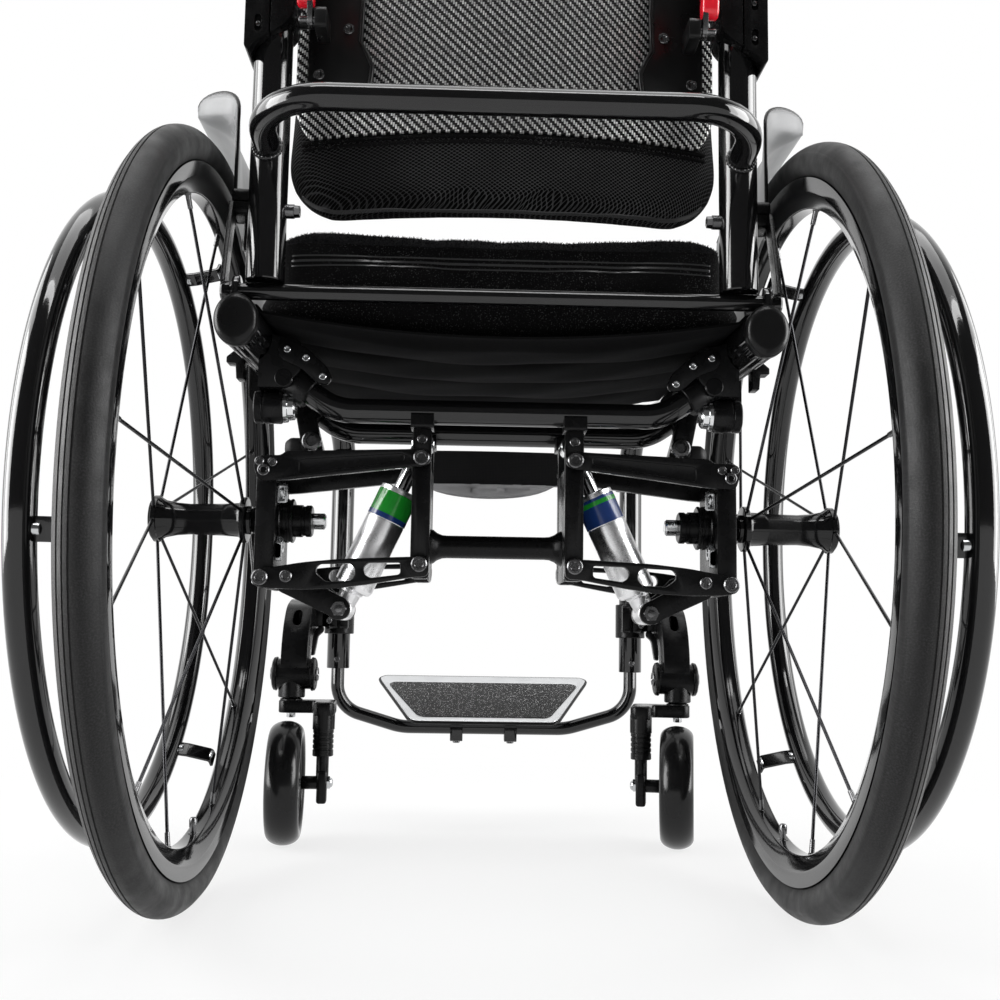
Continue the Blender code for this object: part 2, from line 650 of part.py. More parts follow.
def rear_wheel(label, s):
    centre = (s * TRACK, 0, WHEEL_R)
    w, r = TYRE_WIDE / 2, WHEEL_R
    seat = RIM_R + GAP
    profile = [
        (-w * 0.72, seat), (-w, seat + 0.009), (-w * 0.86, r - 0.0065), (-w * 0.36, r),
        (w * 0.36, r), (w * 0.86, r - 0.0065), (w, seat + 0.009), (w * 0.72, seat),
    ]
    place(turned(profile, WHEEL, centre, "X", True), f"tyre_{label}", TYRE, centre)

    h, deep = RIM_WIDE / 2, RIM_R - RIM_DEEP
    profile = [
        (-h, RIM_R), (-h, RIM_R - 0.010), (-h * 0.55, deep), (h * 0.55, deep), (h, RIM_R - 0.010), (h, RIM_R),
    ]
    base = turned(profile, WHEEL, centre, "X", True)
    hub = turned(
        [
            (-HUB_IN, 0.0110), (-0.0390, 0.0180), (-0.0345, 0.0180), (-0.0320, 0.0140), (0.0050, 0.0120),
            (0.0190, 0.0140), (0.0290, 0.0182), (0.0330, 0.0182), (HUB_OUT, 0.0150),
        ],
        ROUND,
        (0, 0, 0),
        "X",
    )
    if s < 0:
        hub.data.transform(Matrix.Diagonal((-1, 1, 1, 1)))
        hub.data.flip_normals()
    hub.data.transform(Matrix.Translation(centre))
    spokes = []
    for k in range(12):
        outer = k % 2 == 0
        t = math.radians(30 * k + 9)
        lean = math.radians(14 if k % 4 < 2 else -14)
        start_x = centre[0] + s * (0.0310 if outer else -0.0365)
        start = (start_x, 0.0150 * math.sin(t + lean), WHEEL_R + 0.0150 * math.cos(t + lean))
        reach = deep + 0.004
        end_x = centre[0] + s * (0.002 if outer else -0.002)
        end = (end_x, reach * math.sin(t), WHEEL_R + reach * math.cos(t))
        spokes.append(rod(start, end, 0.0013, 4))
    fuse(base, *spokes)
    fuse(base, hub)
    hub_end = TRACK + HUB_OUT
    recess = rod((s * (hub_end - 0.0055), 0, WHEEL_R), (s * (hub_end + 0.05), 0, WHEEL_R), 0.0115, ROUND)
    bore = rod((s * (TRACK - 0.08), 0, WHEEL_R), (s * (hub_end + 0.05), 0, WHEEL_R), AXLE_D / 2 + GAP, ROUND)
    cut(base, bore, recess)
    place(base, f"wheel_{label}", BLACK, centre)

    # Handrim with its six straps
    rim_x = s * (TRACK + HANDRIM_OUT)
    base = turned(
        [(a, HANDRIM_R + b) for a, b in circle(HANDRIM_D / 2, 8)], WHEEL, (rim_x, 0, WHEEL_R), "X", True
    )
    for k in range(6):
        t = math.radians(60 * k + 23)
        out = Vector((0, math.sin(t), math.cos(t)))
        side = Vector((0, math.cos(t), -math.sin(t)))
        foot_x = s * (TRACK + h * 0.80 + 0.0016)
        bends = [(rim_x - s * 0.004, HANDRIM_R), (rim_x - s * 0.016, HANDRIM_R + 0.002),
                 (foot_x + s * 0.002, deep - 0.001), (foot_x + s * 0.0005, deep + 0.005)]
        path = [Vector((x, 0, WHEEL_R)) + out * r for x, r in bends]
        section = [(-0.0075, -0.0012), (0.0075, -0.0012), (0.0075, 0.0012), (-0.0075, 0.0012)]
        strap = sweep(path, section, side)
        fuse(base, strap)
    place(base, f"handrim_{label}", BLACK, (rim_x, 0, WHEEL_R))

    # Quick-release axle and its button
    base = rod((s * (TRACK - 0.1005), 0, WHEEL_R), (s * (hub_end - 0.001), 0, WHEEL_R), AXLE_D / 2, ROUND)
    head = rod((s * (hub_end - 0.0050), 0, WHEEL_R), (s * (hub_end - 0.0005), 0, WHEEL_R), 0.0105, ROUND)
    fuse(base, head)
    button_hole = rod(
        (s * (hub_end - 0.0095), 0, WHEEL_R), (s * (hub_end + 0.05), 0, WHEEL_R), 0.0045 + GAP, ROUND
    )
    cut(base, button_hole)
    place(base, f"axle_{label}", SILVER, (0, 0, WHEEL_R))
    inner = hub_end - 0.0005 - 0.0040
    outer = hub_end + BUTTON_PRESS - 0.0005
    button = rod((s * inner, 0, WHEEL_R), (s * outer, 0, WHEEL_R), 0.0045, ROUND)
    place(button, f"axle_button_{label}", SATIN, (s * inner, 0, WHEEL_R))


def caster(label, s):
    stem = (s * CASTER_X, CASTER_Y, 0)
    yaw = CASTER_YAW[label]

    # Bracket on the front leg: clamp ring, curved arm, housing for the stem
    arm = [
        (CASTER_Y - 0.0150, 0.165), (CASTER_Y - 0.0145, 0.190), (CASTER_Y - 0.004, 0.216),
        (CASTER_Y + 0.016, 0.236), (LEG_Y - 0.032, 0.2440), (LEG_Y + 0.004, 0.2440),
        (LEG_Y + 0.004, 0.2120), (LEG_Y - 0.030, 0.2120), (CASTER_Y + 0.028, 0.204),
        (CASTER_Y + 0.019, 0.190), (CASTER_Y + 0.0150, 0.165),
    ]
    arm_x = sorted((s * (CASTER_X - 0.0165), s * (CASTER_X + 0.0105)))
    base = slab(arm, *arm_x, "X")
    slot_x = s * (CASTER_X - 0.003)
    slot = capsule((slot_x, 0.2440 - 0.0245), (slot_x, 0.2440 - 0.0170), 0.0045)
    cut(base, slab(slot, CASTER_Y - 0.03, CASTER_Y + 0.045))
    ring = rod((s * LEG_X, LEG_Y, 0.2070), (s * LEG_X, LEG_Y, 0.2440), LEG_D / 2 + 0.0038, ROUND)
    link_x = sorted((s * LEG_X, s * (CASTER_X - 0.012)))
    link = block(link_x, (LEG_Y - 0.026, LEG_Y - 0.002), (0.2140, 0.2400))
    housing_x = CASTER_X - 0.0025
    profile = [(-0.022, 0.0150), (-0.0205, 0.0168), (0.0205, 0.0168), (0.022, 0.0150)]
    housing = turned(profile, ROUND, (s * housing_x, CASTER_Y, 0.1650), "X")
    boss = rod((s * CASTER_X, CASTER_Y, 0.1410), (s * CASTER_X, CASTER_Y, 0.1650), 0.0138, ROUND)
    fuse(base, ring, link, housing, boss)
    leg_bore = rod((s * LEG_X, LEG_Y, 0.19), (s * LEG_X, LEG_Y, 0.26), LEG_D / 2 + 0.0008, ROUND)
    stem_bore = rod((s * CASTER_X, CASTER_Y, 0.12), (s * CASTER_X, CASTER_Y, 0.1745), 0.0060 + GAP, ROUND)
    cut(base, leg_bore, stem_bore)
    place(base, f"caster_bracket_{label}", SATIN)

    # Fork: stem, crown and the guide for the sprung leg
    leg = (s * (CASTER_X - FORK_LEG), CASTER_Y - TRAIL)
    crown = [
        (CASTER_X + 0.0125, CASTER_Y - 0.0060), (CASTER_X + 0.0125, CASTER_Y + 0.0070),
        (CASTER_X + 0.0070, CASTER_Y + 0.0120), (CASTER_X - FORK_LEG - 0.005, CASTER_Y + 0.0120),
        (CASTER_X - FORK_LEG - 0.0105, CASTER_Y + 0.0060), (CASTER_X - FORK_LEG - 0.0105, leg[1] - 0.006),
        (CASTER_X - FORK_LEG - 0.0060, leg[1] - 0.0105), (CASTER_X - FORK_LEG + 0.0060, leg[1] - 0.0105),
        (CASTER_X - FORK_LEG + 0.0105, leg[1] - 0.006), (CASTER_X - FORK_LEG + 0.0105, CASTER_Y - 0.0105),
        (CASTER_X + 0.0075, CASTER_Y - 0.0105),
    ]
    base = slab(mirror(crown, s), 0.1255, 0.1385, "Z")
    guide = turned(
        [(0.0860, 0.0092), (0.0870, 0.0103), (0.1250, 0.0103), (0.1300, 0.0103)], ROUND, (*leg, 0), "Z"
    )
    post = rod((s * CASTER_X, CASTER_Y, 0.1300), (s * CASTER_X, CASTER_Y, 0.1735), 0.0060, ROUND)
    fuse(base, guide, post)
    cut(base, rod((*leg, 0.07), (*leg, 0.1335), 0.0062 + GAP, ROUND))
    turn_about(base, yaw, stem)
    place(base, f"caster_fork_{label}", SATIN, (*stem[:2], 0.1255))

    # Sprung leg with the wheel's bolt
    z = CASTER_R
    base = block(
        (leg[0] - 0.0050, leg[0] + 0.0050), (leg[1] - 0.0090, leg[1] + 0.0090), (z - 0.0200, z + 0.0120)
    )
    round_edges(base, 0.0015)
    post = rod((*leg, z + 0.006), (*leg, 0.1240), 0.0062, ROUND)
    wheel_x = s * CASTER_X
    inboard = leg[0] - s * 0.0050
    spacer = rod((leg[0], leg[1], z), (wheel_x - s * (CASTER_WIDE / 2 - 0.001), leg[1], z), 0.0065)
    bolt = rod((inboard, leg[1], z), (wheel_x + s * (CASTER_WIDE / 2 - 0.001), leg[1], z), 0.0040)
    nut = rod((inboard - s * 0.006, leg[1], z), (leg[0], leg[1], z), 0.0062, 6)
    fuse(base, post, spacer, bolt, nut)
    turn_about(base, yaw, stem)
    place(base, f"caster_leg_{label}", SATIN, (*stem[:2], z))

    # Wheel: rubber tyre on a five-spoked hub
    centre = (wheel_x, leg[1], z)
    h, r = CASTER_WIDE / 2, CASTER_R
    seat = r - 0.0155
    profile = [
        (-h * 0.82, seat + GAP), (-h, seat + 0.0055), (-h * 0.82, r - 0.0052), (-h * 0.34, r),
        (h * 0.34, r), (h * 0.82, r - 0.0052), (h, seat + 0.0055), (h * 0.82, seat + GAP),
    ]
    tyre = turned(profile, 24, centre, "X", True)
    hub = turned(
        [
            (-h + 0.0030, 0.0110), (-0.0045, 0.0130), (-0.0040, seat - 0.007),
            (-h * 0.78, seat - GAP), (h * 0.78, seat - GAP),
            (0.0040, seat - 0.007), (0.0045, 0.0130), (h - 0.0030, 0.0110),
        ],
        16,
        centre,
        "X",
    )
    holes = []
    for k in range(5):
        t = math.radians(72 * k + 20)
        y, zz = centre[1] + 0.0245 * math.sin(t), z + 0.0245 * math.cos(t)
        holes.append(rod((wheel_x - 0.03, y, zz), (wheel_x + 0.03, y, zz), 0.0085, 8))
    axle_end = wheel_x + s * 0.03
    holes.append(rod((wheel_x - s * 0.03, leg[1], z), (axle_end, leg[1], z), 0.0040 + GAP, ROUND))
    cut(hub, *holes)
    for piece, name, look in ((tyre, "caster_tyre", PAD), (hub, "caster_hub", SATIN)):
        turn_about(piece, yaw, stem)
        spot = Vector(stem) + Matrix.Rotation(math.radians(yaw), 3, "Z") @ (Vector(centre) - Vector(stem))
        place(piece, f"{name}_{label}", look, spot)


def footrest():
    """Bent tube between the legs, the tilted plate and its grip pad."""
    corners = [
        (-LEG_X, LEG_Y, LEG_END_Z + 0.020), (-LEG_X, LEG_Y, FOOT_TUBE_Z + 0.022),
        (-0.092, LEG_Y + 0.013, FOOT_TUBE_Z), (0.092, LEG_Y + 0.013, FOOT_TUBE_Z),
        (LEG_X, LEG_Y, FOOT_TUBE_Z + 0.022), (LEG_X, LEG_Y, LEG_END_Z + 0.020),
    ]
    path = arc_path(corners, [0.034, 0.060, 0.060, 0.034], 4)
    base = tube(path, FOOT_TUBE_D / 2, SMALL, (0, 1, 0))
    y = LEG_Y + 0.013
    clips = []
    for x in (-0.030, 0.030):
        outline = [
            (y - 0.011, FOOT_TUBE_Z - 0.0145), (y + 0.011, FOOT_TUBE_Z - 0.0145),
            (y + 0.011, FOOT_TUBE_Z + 0.0120), (y - 0.011, FOOT_TUBE_Z + 0.0035),
        ]
        clips.append(slab(outline, x - 0.007, x + 0.007, "X"))
    fuse(base, *clips)
    place(base, "foot_tube", BLACK)

    tilt = Matrix.Translation((0, *FOOT_NEAR)) @ Matrix.Rotation(math.radians(FOOT_TILT), 4, "X")
    near, far, deep, c = FOOT_NEAR_HALF, FOOT_FAR_HALF, FOOT_LONG, 0.006
    outline = [
        (-near + c, 0), (near - c, 0), (near + 0.001, c), (far - 0.002, deep - c - 0.008),
        (far, deep - c), (far - c, deep), (-far + c, deep), (-far, deep - c),
        (-far + 0.002, deep - c - 0.008), (-near - 0.001, c),
    ]
    plate = slab(outline, 0.0040, 0.0080, "Z")
    recess = [(x * 0.905, 0.009 + t * 0.845) for x, t in outline]
    cut(plate, slab(recess, 0.0070, 0.0100, "Z"))
    plate.data.transform(tilt)
    place(plate, "footplate", PALE)
    pad = slab([(x * 0.995, 0.0573 + (t - 0.0573) * 0.99) for x, t in recess], 0.0070 + GAP, 0.0086, "Z")
    pad.data.transform(tilt)
    place(pad, "grip_pad", GRIP)


def back_y(x):
    """Rear face of the back shell at this distance from the middle."""
    return -0.098 + SHELL_CURVE * (x / SHELL_HALF) ** 2


def back():
    hinge = (0, HINGE_Y, HINGE_Z)
    end = RAIL_X + 0.0100
    bar = rod((-end, HINGE_Y, HINGE_Z), (end, HINGE_Y, HINGE_Z), HINGE_D / 2, ROUND)
    for s in (-1, 1):
        ends = [(s * x, HINGE_Y, HINGE_Z) for x in (end - 0.001, end + 0.0055)]
        fuse(bar, rod(*ends, 0.0075))
    place(bar, "hinge_bar", BLACK, hinge)

    y = CANE_Y
    corners = [
        (-CANE_X, y, PUSH_Z - 0.009), (-CANE_X, PUSH_BACK, PUSH_Z),
        (CANE_X, PUSH_BACK, PUSH_Z), (CANE_X, y, PUSH_Z - 0.009),
    ]
    path = arc_path(corners, [0.050, 0.050], 5)
    push = tube(path, PUSH_D / 2, SMALL, (0, 0, 1))
    for x in (-CANE_X, CANE_X):
        cut(push, rod((x, y, PUSH_Z - 0.05), (x, y, PUSH_Z + 0.05), CANE_D / 2 + GAP, ROUND))
    place(push, "push_bar", BLACK, hinge)

    for label, s in SIDES.items():
        foot = HINGE_Z + HINGE_D / 2 + GAP
        cane = rod((s * CANE_X, y, foot), (s * CANE_X, y, CANE_TOP), CANE_D / 2, ROUND)
        place(cane, f"back_cane_{label}", BLACK, hinge)

        outer, inner, low = CANE_X + 0.0180, CANE_X - 0.0160, PUSH_Z + 0.0600
        outline = [
            (inner, low + 0.028), (inner + 0.006, low + 0.0205), (CANE_X + 0.012, low + 0.0060),
            (outer - 0.003, low), (outer, low + 0.0030), (outer, low + 0.112), (inner, low + 0.112),
        ]
        clamp = slab(mirror(outline, s), y - 0.0215, y + 0.0175)
        cut(clamp, rod((s * CANE_X, y, low - 0.02), (s * CANE_X, y, low + 0.15), CANE_D / 2 + GAP, ROUND))
        for z in (low + 0.0210, low + 0.0480):
            ends = [(s * (CANE_X + 0.0085), there) for there in (z - 0.0040, z + 0.0040)]
            cut(clamp, slab(capsule(*ends, 0.0024), y - 0.0250, y - 0.0180))
        place(clamp, f"cane_clamp_{label}", SATIN, hinge)

        # Bracket on the shell's back, with the ear for the lever
        grid = []
        edges = [
            (0.035, 0.0480), (0.050, 0.0495), (0.069, 0.0405), (0.097, 0.0415), (0.125, 0.0400),
            (0.160, 0.0360),
        ]
        for up, wide in edges:
            row = [CANE_X - 0.0240 - wide * (1 - k / 4) for k in range(5)]
            grid.append([(s * x, back_y(x) - 0.0036, SHELL_LOW + up) for x in row])
        bracket = thick_sheet(grid, 0.0050)
        lever_at, pin_z = CANE_X - 0.0300, SHELL_LOW + 0.070
        ear_x = sorted((s * (lever_at - 0.0120), s * (lever_at - 0.0035)))
        ear = block(ear_x, (-0.1260, back_y(lever_at - 0.008) - 0.003), (pin_z - 0.008, pin_z + 0.008))
        pin = rod(*[(s * (lever_at + out), -0.1190, pin_z) for out in (-0.0080, 0.0085)], 0.0026, 10)
        arms = []
        for z in (pin_z + 0.017, pin_z + 0.065):
            ends = [(s * there, -0.0835, z) for there in (lever_at - 0.002, inner - 0.0004)]
            arms.append(rod(*ends, 0.0045, 10))
        fuse(bracket, ear, pin, *arms)
        place(bracket, f"shell_bracket_{label}", SATIN, hinge)

        lever_x = sorted((s * (lever_at - 0.0020), s * (lever_at + 0.0020)))
        grip_x = sorted((s * (lever_at - 0.0028), s * (lever_at + 0.0095)))
        lever = slab(capsule((-0.1190, pin_z), (-0.1215, pin_z + 0.011), 0.0055), *lever_x, "X")
        grip = slab(capsule((-0.1215, pin_z + 0.015), (-0.1260, pin_z + 0.045), 0.0070), *grip_x, "X")
        round_edges(grip, 0.0012)
        fuse(lever, grip)
        hole = [(s * (lever_at + out), -0.1190, pin_z) for out in (-0.02, 0.03)]
        cut(lever, rod(*hole, 0.0026 + GAP, 10))
        place(lever, f"release_lever_{label}", RED, (s * lever_at, -0.1190, pin_z))

    grid = []
    for v in np.linspace(0, 1, 9):
        z = SHELL_LOW + v * (SHELL_TOP - SHELL_LOW)
        low = max(0.0, 1 - (z - SHELL_LOW) / 0.045)
        high = max(0.0, 1 - (SHELL_TOP - z) / 0.045)
        half = SHELL_HALF - 0.030 * low ** 2 - 0.030 * high ** 2
        grid.append([(u * half, back_y(u * half) + 0.0019, z) for u in np.linspace(-1, 1, 13)])
    place(thick_sheet(grid, 0.0038), "back_shell", CARBON, hinge)

    low, high, half = SHELL_LOW - 0.0580, SHELL_TOP - 0.010, SHELL_HALF + 0.0080
    middle, tall = (low + high) / 2, (high - low) / 2
    def spot(u, v, w):
        x = u * corner_half(half, tall * (1 - abs(v)), 0.056)
        z = middle + tall * v
        belly = 0.004 * (1 - u * u) * (1 - v * v)
        y = back_y(x) + 0.0048 + 0.0250 * (1 + w) + belly * max(w, 0)
        return (x, y, z)
    place(pillow(spot, 10, 10, 3.6), "back_cushion", MESH, hinge)


def seat():
    """Sling between the rails, cushion on it, and the calf strap between the legs."""
    a, b = RAIL_WIDE / 2 + 0.0016, RAIL_HIGH / 2 + 0.0016
    edge = RAIL_X - a * math.cos(math.radians(35))
    lift = b * math.sin(math.radians(35))

    def sling_z(x, y):
        sag = 0.0090 + 0.006 * max(0.0, 1 - (y - CUSHION_BACK) / 0.40)
        return rail_z(y) + lift - sag * (1 - (x / edge) ** 2)

    wrap = [(a * math.cos(math.radians(t)), b * math.sin(math.radians(t))) for t in (90, 65)]
    grid = []
    for y in np.linspace(-0.0880, TAPER_Y - 0.022, 6):
        row = [(x, y, sling_z(x, y)) for x in np.linspace(-edge, edge, 9)]
        left = [(-RAIL_X + out, y, rail_z(y) + up) for out, up in wrap]
        right = [(RAIL_X - out, y, rail_z(y) + up) for out, up in reversed(wrap)]
        grid.append(left + row + right)
    sling = thick_sheet(grid, 0.0018)
    hinge_room = block((-0.22, 0.22), (-0.110, -0.0810), (HINGE_Z - 0.0085, HINGE_Z + 0.02))
    cut(sling, hinge_room)
    place(sling, "seat_sling", CLOTH)

    middle, deep = (CUSHION_FRONT + CUSHION_BACK) / 2, (CUSHION_FRONT - CUSHION_BACK) / 2
    def spot(u, v, w):
        x = u * corner_half(CUSHION_HALF, deep * (1 - abs(v)), 0.020)
        y = middle + deep * v
        low = max(sling_z(min(max(x, -edge), edge), y) + 0.0016, 0)
        if abs(x) > edge:
            low += b * (1 - math.sin(math.radians(35)))
        top = rail_z(y) + CUSHION_TOP + 0.006 * (1 - v * v) - 0.004 * (1 - u * u)
        half = (top - low) / 2
        return (x, y, low + half + half * w)
    place(pillow(spot, 10, 10, 9.0), "seat_cushion", CLOTH)

    r = LEG_D / 2 + 0.0038
    path = []
    for t in np.radians(np.linspace(20, 270, 9)):
        path.append((-LEG_X + r * math.cos(t), LEG_Y + r * math.sin(t)))
    span = LEG_X - 0.0245
    low = [(span * (k / 3 - 1), LEG_Y - r - 0.012 * math.sin(math.pi * k / 6)) for k in range(7)]
    turn = [(-x, y) for x, y in reversed(path)]
    line = path[:-1] + low + turn[1:]
    bend_z = rail_z(LEG_Y) - LEG_BEND * math.tan(math.radians(45 - SEAT_RISE / 2))
    grid = []
    inward = (RAIL_X - LEG_X) / (LEG_Y - TAPER_Y)
    for z in (SEAT_Z - 0.0525, SEAT_Z - 0.0355, SEAT_Z - 0.0245, SEAT_Z - 0.0155):
        rise = max(0.0, z - bend_z)
        inner = LEG_BEND - LEG_D / 2 - 0.004
        back = inner - math.sqrt(inner ** 2 - rise ** 2)
        grid.append([(x * (1 + back * inward / LEG_X), y - back, z) for x, y in line])
    place(thick_sheet(grid, 0.0018), "calf_strap", CLOTH)


def side_guard(label, s):
    """Thin plate beside the seat that flares out over the tyre."""
    flare = [
        (0.0, -0.0300), (0.0018, -0.0050), (0.0046, 0.0170), (0.0083, 0.0275), (0.0148, 0.0340),
        (0.0223, 0.0355), (0.0283, 0.0325), (0.0318, 0.0290),
    ]
    plate_x, tyre_top = TRACK - TYRE_WIDE / 2 - 0.0128, 2 * WHEEL_R
    grid = []
    for y in np.linspace(-0.040, 0.150, 8):
        drop = 0.045 * max(0.0, (y - 0.050) / 0.100) ** 2
        foot = RAIL_HIGH / 2 + rail_z(y) + 0.004
        row = [(plate_x, foot), (plate_x, (foot + tyre_top - 0.030 - drop) / 2)]
        row += [(plate_x + out, tyre_top + up - drop) for out, up in flare]
        grid.append([(s * x, y, z) for x, z in row])
    base = thick_sheet(grid, 0.0024)
    tab_x = tuple(sorted((s * (RAIL_X + RAIL_WIDE / 2 + 0.0003), s * (plate_x + 0.0001))))
    tab = block(tab_x, (0.080, 0.122), (rail_z(0.10) - 0.0015, rail_z(0.10) + 0.0485))
    fuse(base, round_edges(tab, 0.001))
    place(base, f"side_guard_{label}", GUARD)


clear_scene()
cross_tubes()
suspension_carrier()
seat()
footrest()
back()
for name, sign in SIDES.items():
    side_frame(name, sign)
    rail_clamp(name, sign)
    suspension(name, sign)
    rear_wheel(name, sign)
    caster(name, sign)
    side_guard(name, sign)
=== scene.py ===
"""Render scene for the rigid wheelchair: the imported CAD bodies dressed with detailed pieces. Metres, +Z up.
Positions are measured from the floor point under the rear axle, as in the CAD source; piece() shifts them."""

import math

import bmesh
import bpy
import numpy as np
from mathutils import Matrix, Vector
from mathutils.bvhtree import BVHTree


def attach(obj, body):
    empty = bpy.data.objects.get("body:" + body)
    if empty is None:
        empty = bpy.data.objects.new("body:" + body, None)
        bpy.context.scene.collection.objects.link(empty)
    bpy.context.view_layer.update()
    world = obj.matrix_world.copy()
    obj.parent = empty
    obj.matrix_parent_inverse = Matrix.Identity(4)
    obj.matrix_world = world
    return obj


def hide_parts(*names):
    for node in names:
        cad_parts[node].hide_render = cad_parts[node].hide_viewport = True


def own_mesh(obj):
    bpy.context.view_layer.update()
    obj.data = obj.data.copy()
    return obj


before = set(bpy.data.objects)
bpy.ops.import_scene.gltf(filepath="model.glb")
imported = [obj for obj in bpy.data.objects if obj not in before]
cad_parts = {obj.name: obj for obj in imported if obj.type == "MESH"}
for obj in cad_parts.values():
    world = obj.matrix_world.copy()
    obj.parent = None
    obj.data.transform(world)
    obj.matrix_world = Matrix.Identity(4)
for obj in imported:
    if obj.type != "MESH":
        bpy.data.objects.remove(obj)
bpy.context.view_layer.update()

AXLE_Y = -0.0972
SEAT_Z, SEAT_RISE = 0.4265, 2.5
RAIL_X, RAIL_BACK, RAIL_WIDE, RAIL_HIGH = 0.188, -0.105, 0.03, 0.036
LEG_X, LEG_Y, LEG_D, LEG_BEND, TAPER_Y, LEG_END_Z = 0.1625, 0.4, 0.025, 0.045, 0.3, 0.169
GAP = 0.0004
WHEEL_R, TYRE_WIDE, RIM_R, RIM_DEEP, RIM_WIDE, TRACK = 0.295, 0.028, 0.27, 0.023, 0.023, 0.2335
HANDRIM_R, HANDRIM_D, HANDRIM_OUT = 0.238, 0.0196, 0.0485
HUB_IN, HUB_OUT, AXLE_D = 0.0425, 0.035, 0.0127
PIVOT_A, PIVOT_B, ARM_REACH = (0.058, 0.3405), (0.058, 0.2603), (0.1175, -0.0118)
SHOCK_LOW, SHOCK_TOP = (0.1188, 0.2268), (0.0585, 0.358)
PIN_D, SHOCK_D, ROD_D, CARRIER_DEEP, UPRIGHT_DEEP, UPRIGHT_WIDE = 0.008, 0.031, 0.0124, 0.039, 0.034, 0.015
CROSS_D, CROSS_REAR, CROSS_FRONT = 0.019, (-0.035, 0.377), (0.045, 0.374)
CROSS_BEND_X, CROSS_END = 0.125, (0.168, 0.4065)
CASTER_X, CASTER_Y, CASTER_R, CASTER_WIDE, TRAIL, FORK_LEG = 0.201, 0.318, 0.06, 0.033, 0.045, 0.036
CASTER_YAW = {-1: 4.0, 1: -11.0}
FOOT_TUBE_D, FOOT_TUBE_Z, FOOT_TILT, FOOT_NEAR, FOOT_LONG = 0.0145, 0.105, 23.0, (0.385, 0.107), 0.114
FOOT_NEAR_HALF, FOOT_FAR_HALF = 0.081, 0.121
CANE_X, CANE_Y, CANE_D, CANE_TOP = 0.172, -0.0925, 0.028, 0.775
HINGE_Y, HINGE_Z, HINGE_D = -0.09, 0.4525, 0.012
SHELL_HALF, SHELL_LOW, SHELL_TOP, SHELL_CURVE = 0.158, 0.575, 0.8, 0.028
PUSH_BACK, PUSH_Z, PUSH_D = -0.17, 0.564, 0.019
CUSHION_HALF, CUSHION_FRONT, CUSHION_BACK, CUSHION_TOP = 0.17, 0.335, -0.07, 0.0835
SIDES = {"L": -1.0, "R": 1.0}
# The CAD's colour slot for each look that has no slot of its own name
SLOTS = {
    **dict.fromkeys(("rim_black", "rail_black", "spoke_black", "band_blue", "band_green"), "gloss_black"),
    **dict.fromkeys(("bolt_steel", "drawn_aluminium"), "polished_aluminium"),
    **dict.fromkeys(("strap_cloth", "cushion_side_cloth", "cushion_top_cloth", "zip_black"), "seat_cloth"),
    "dark_steel": "satin_black", "elastomer_black": "cap_black",
}
ROUND = 36
ARM_NEAR, ARM_FAR = 0.0397, 0.0465
CLOTH_PRESSURE, CLOTH_STIFF, CLOTH_BEND, CLOTH_FRAMES = 4.0, 12, 0.6, 20


def rail_z(y):
    return SEAT_Z + (y - RAIL_BACK) * math.tan(math.radians(SEAT_RISE))


def back_y(x):
    return -0.098 + SHELL_CURVE * (x / SHELL_HALF) ** 2


# Shapes

def solid(points, faces):
    mesh = bpy.data.meshes.new("solid")
    mesh.from_pydata([tuple(p) for p in points], [], faces)
    shape = bmesh.new()
    shape.from_mesh(mesh)
    bmesh.ops.remove_doubles(shape, verts=shape.verts, dist=1e-7)
    bmesh.ops.recalc_face_normals(shape, faces=shape.faces)
    if shape.calc_volume(signed=True) < 0:
        bmesh.ops.reverse_faces(shape, faces=shape.faces)
    shape.to_mesh(mesh)
    shape.free()
    made = bpy.data.objects.new("solid", mesh)
    bpy.context.scene.collection.objects.link(made)
    return made


def applied(base, kind, **settings):
    step = base.modifiers.new("step", kind)
    for key, value in settings.items():
        setattr(step, key, value)
    graph = bpy.context.evaluated_depsgraph_get()
    mesh = bpy.data.meshes.new_from_object(base.evaluated_get(graph))
    base.modifiers.remove(step)
    base.data = mesh
    return base


def combine(base, others, operation):
    for other in others:
        applied(base, "BOOLEAN", operation=operation, solver="EXACT", object=other)
        bpy.data.objects.remove(other)
    return base


def cut(base, *others):
    return combine(base, others, "DIFFERENCE")


def join(*parts):
    """The parts as one object, their meshes side by side."""
    shape = bmesh.new()
    for part in parts:
        shape.from_mesh(part.data)
    mesh = bpy.data.meshes.new("joined")
    shape.to_mesh(mesh)
    shape.free()
    for part in parts[1:]:
        bpy.data.objects.remove(part)
    parts[0].data = mesh
    return parts[0]


def soften(base, width, steps=2, angle=32):
    return applied(
        base, "BEVEL", width=width, segments=steps, limit_method="ANGLE", angle_limit=math.radians(angle),
        use_clamp_overlap=True,
    )


def piece(base, name, look, body, nodes=(), slot=None, angle=34):
    """The shape becomes a named piece that rides on a CAD body."""
    kind = look.name.partition(".")[0].removesuffix("_L").removesuffix("_R")
    base.name = name
    base.data.name = name
    base.data.transform(Matrix.Translation((0, AXLE_Y, 0)))
    base.data.materials.clear()
    base.data.materials.append(look)
    base.data.shade_smooth()
    base.data.set_sharp_from_angle(angle=math.radians(angle))
    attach(base, body)
    if nodes:
        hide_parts(*nodes)
    slot or SLOTS.get(kind, kind)
    return base


def put(s, shape, name, look, body="frame", node=None, **settings):
    """A piece drawn for the right side and mirrored for the left; each name gets the side's letter."""
    end = "_L" if s < 0 else "_R"
    shape = join(*shape) if isinstance(shape, list) else shape
    body = body if body in ("frame", "back") else body + end
    return piece(sided(shape, s), name + end, look, body, [node + end] if node else (), **settings)


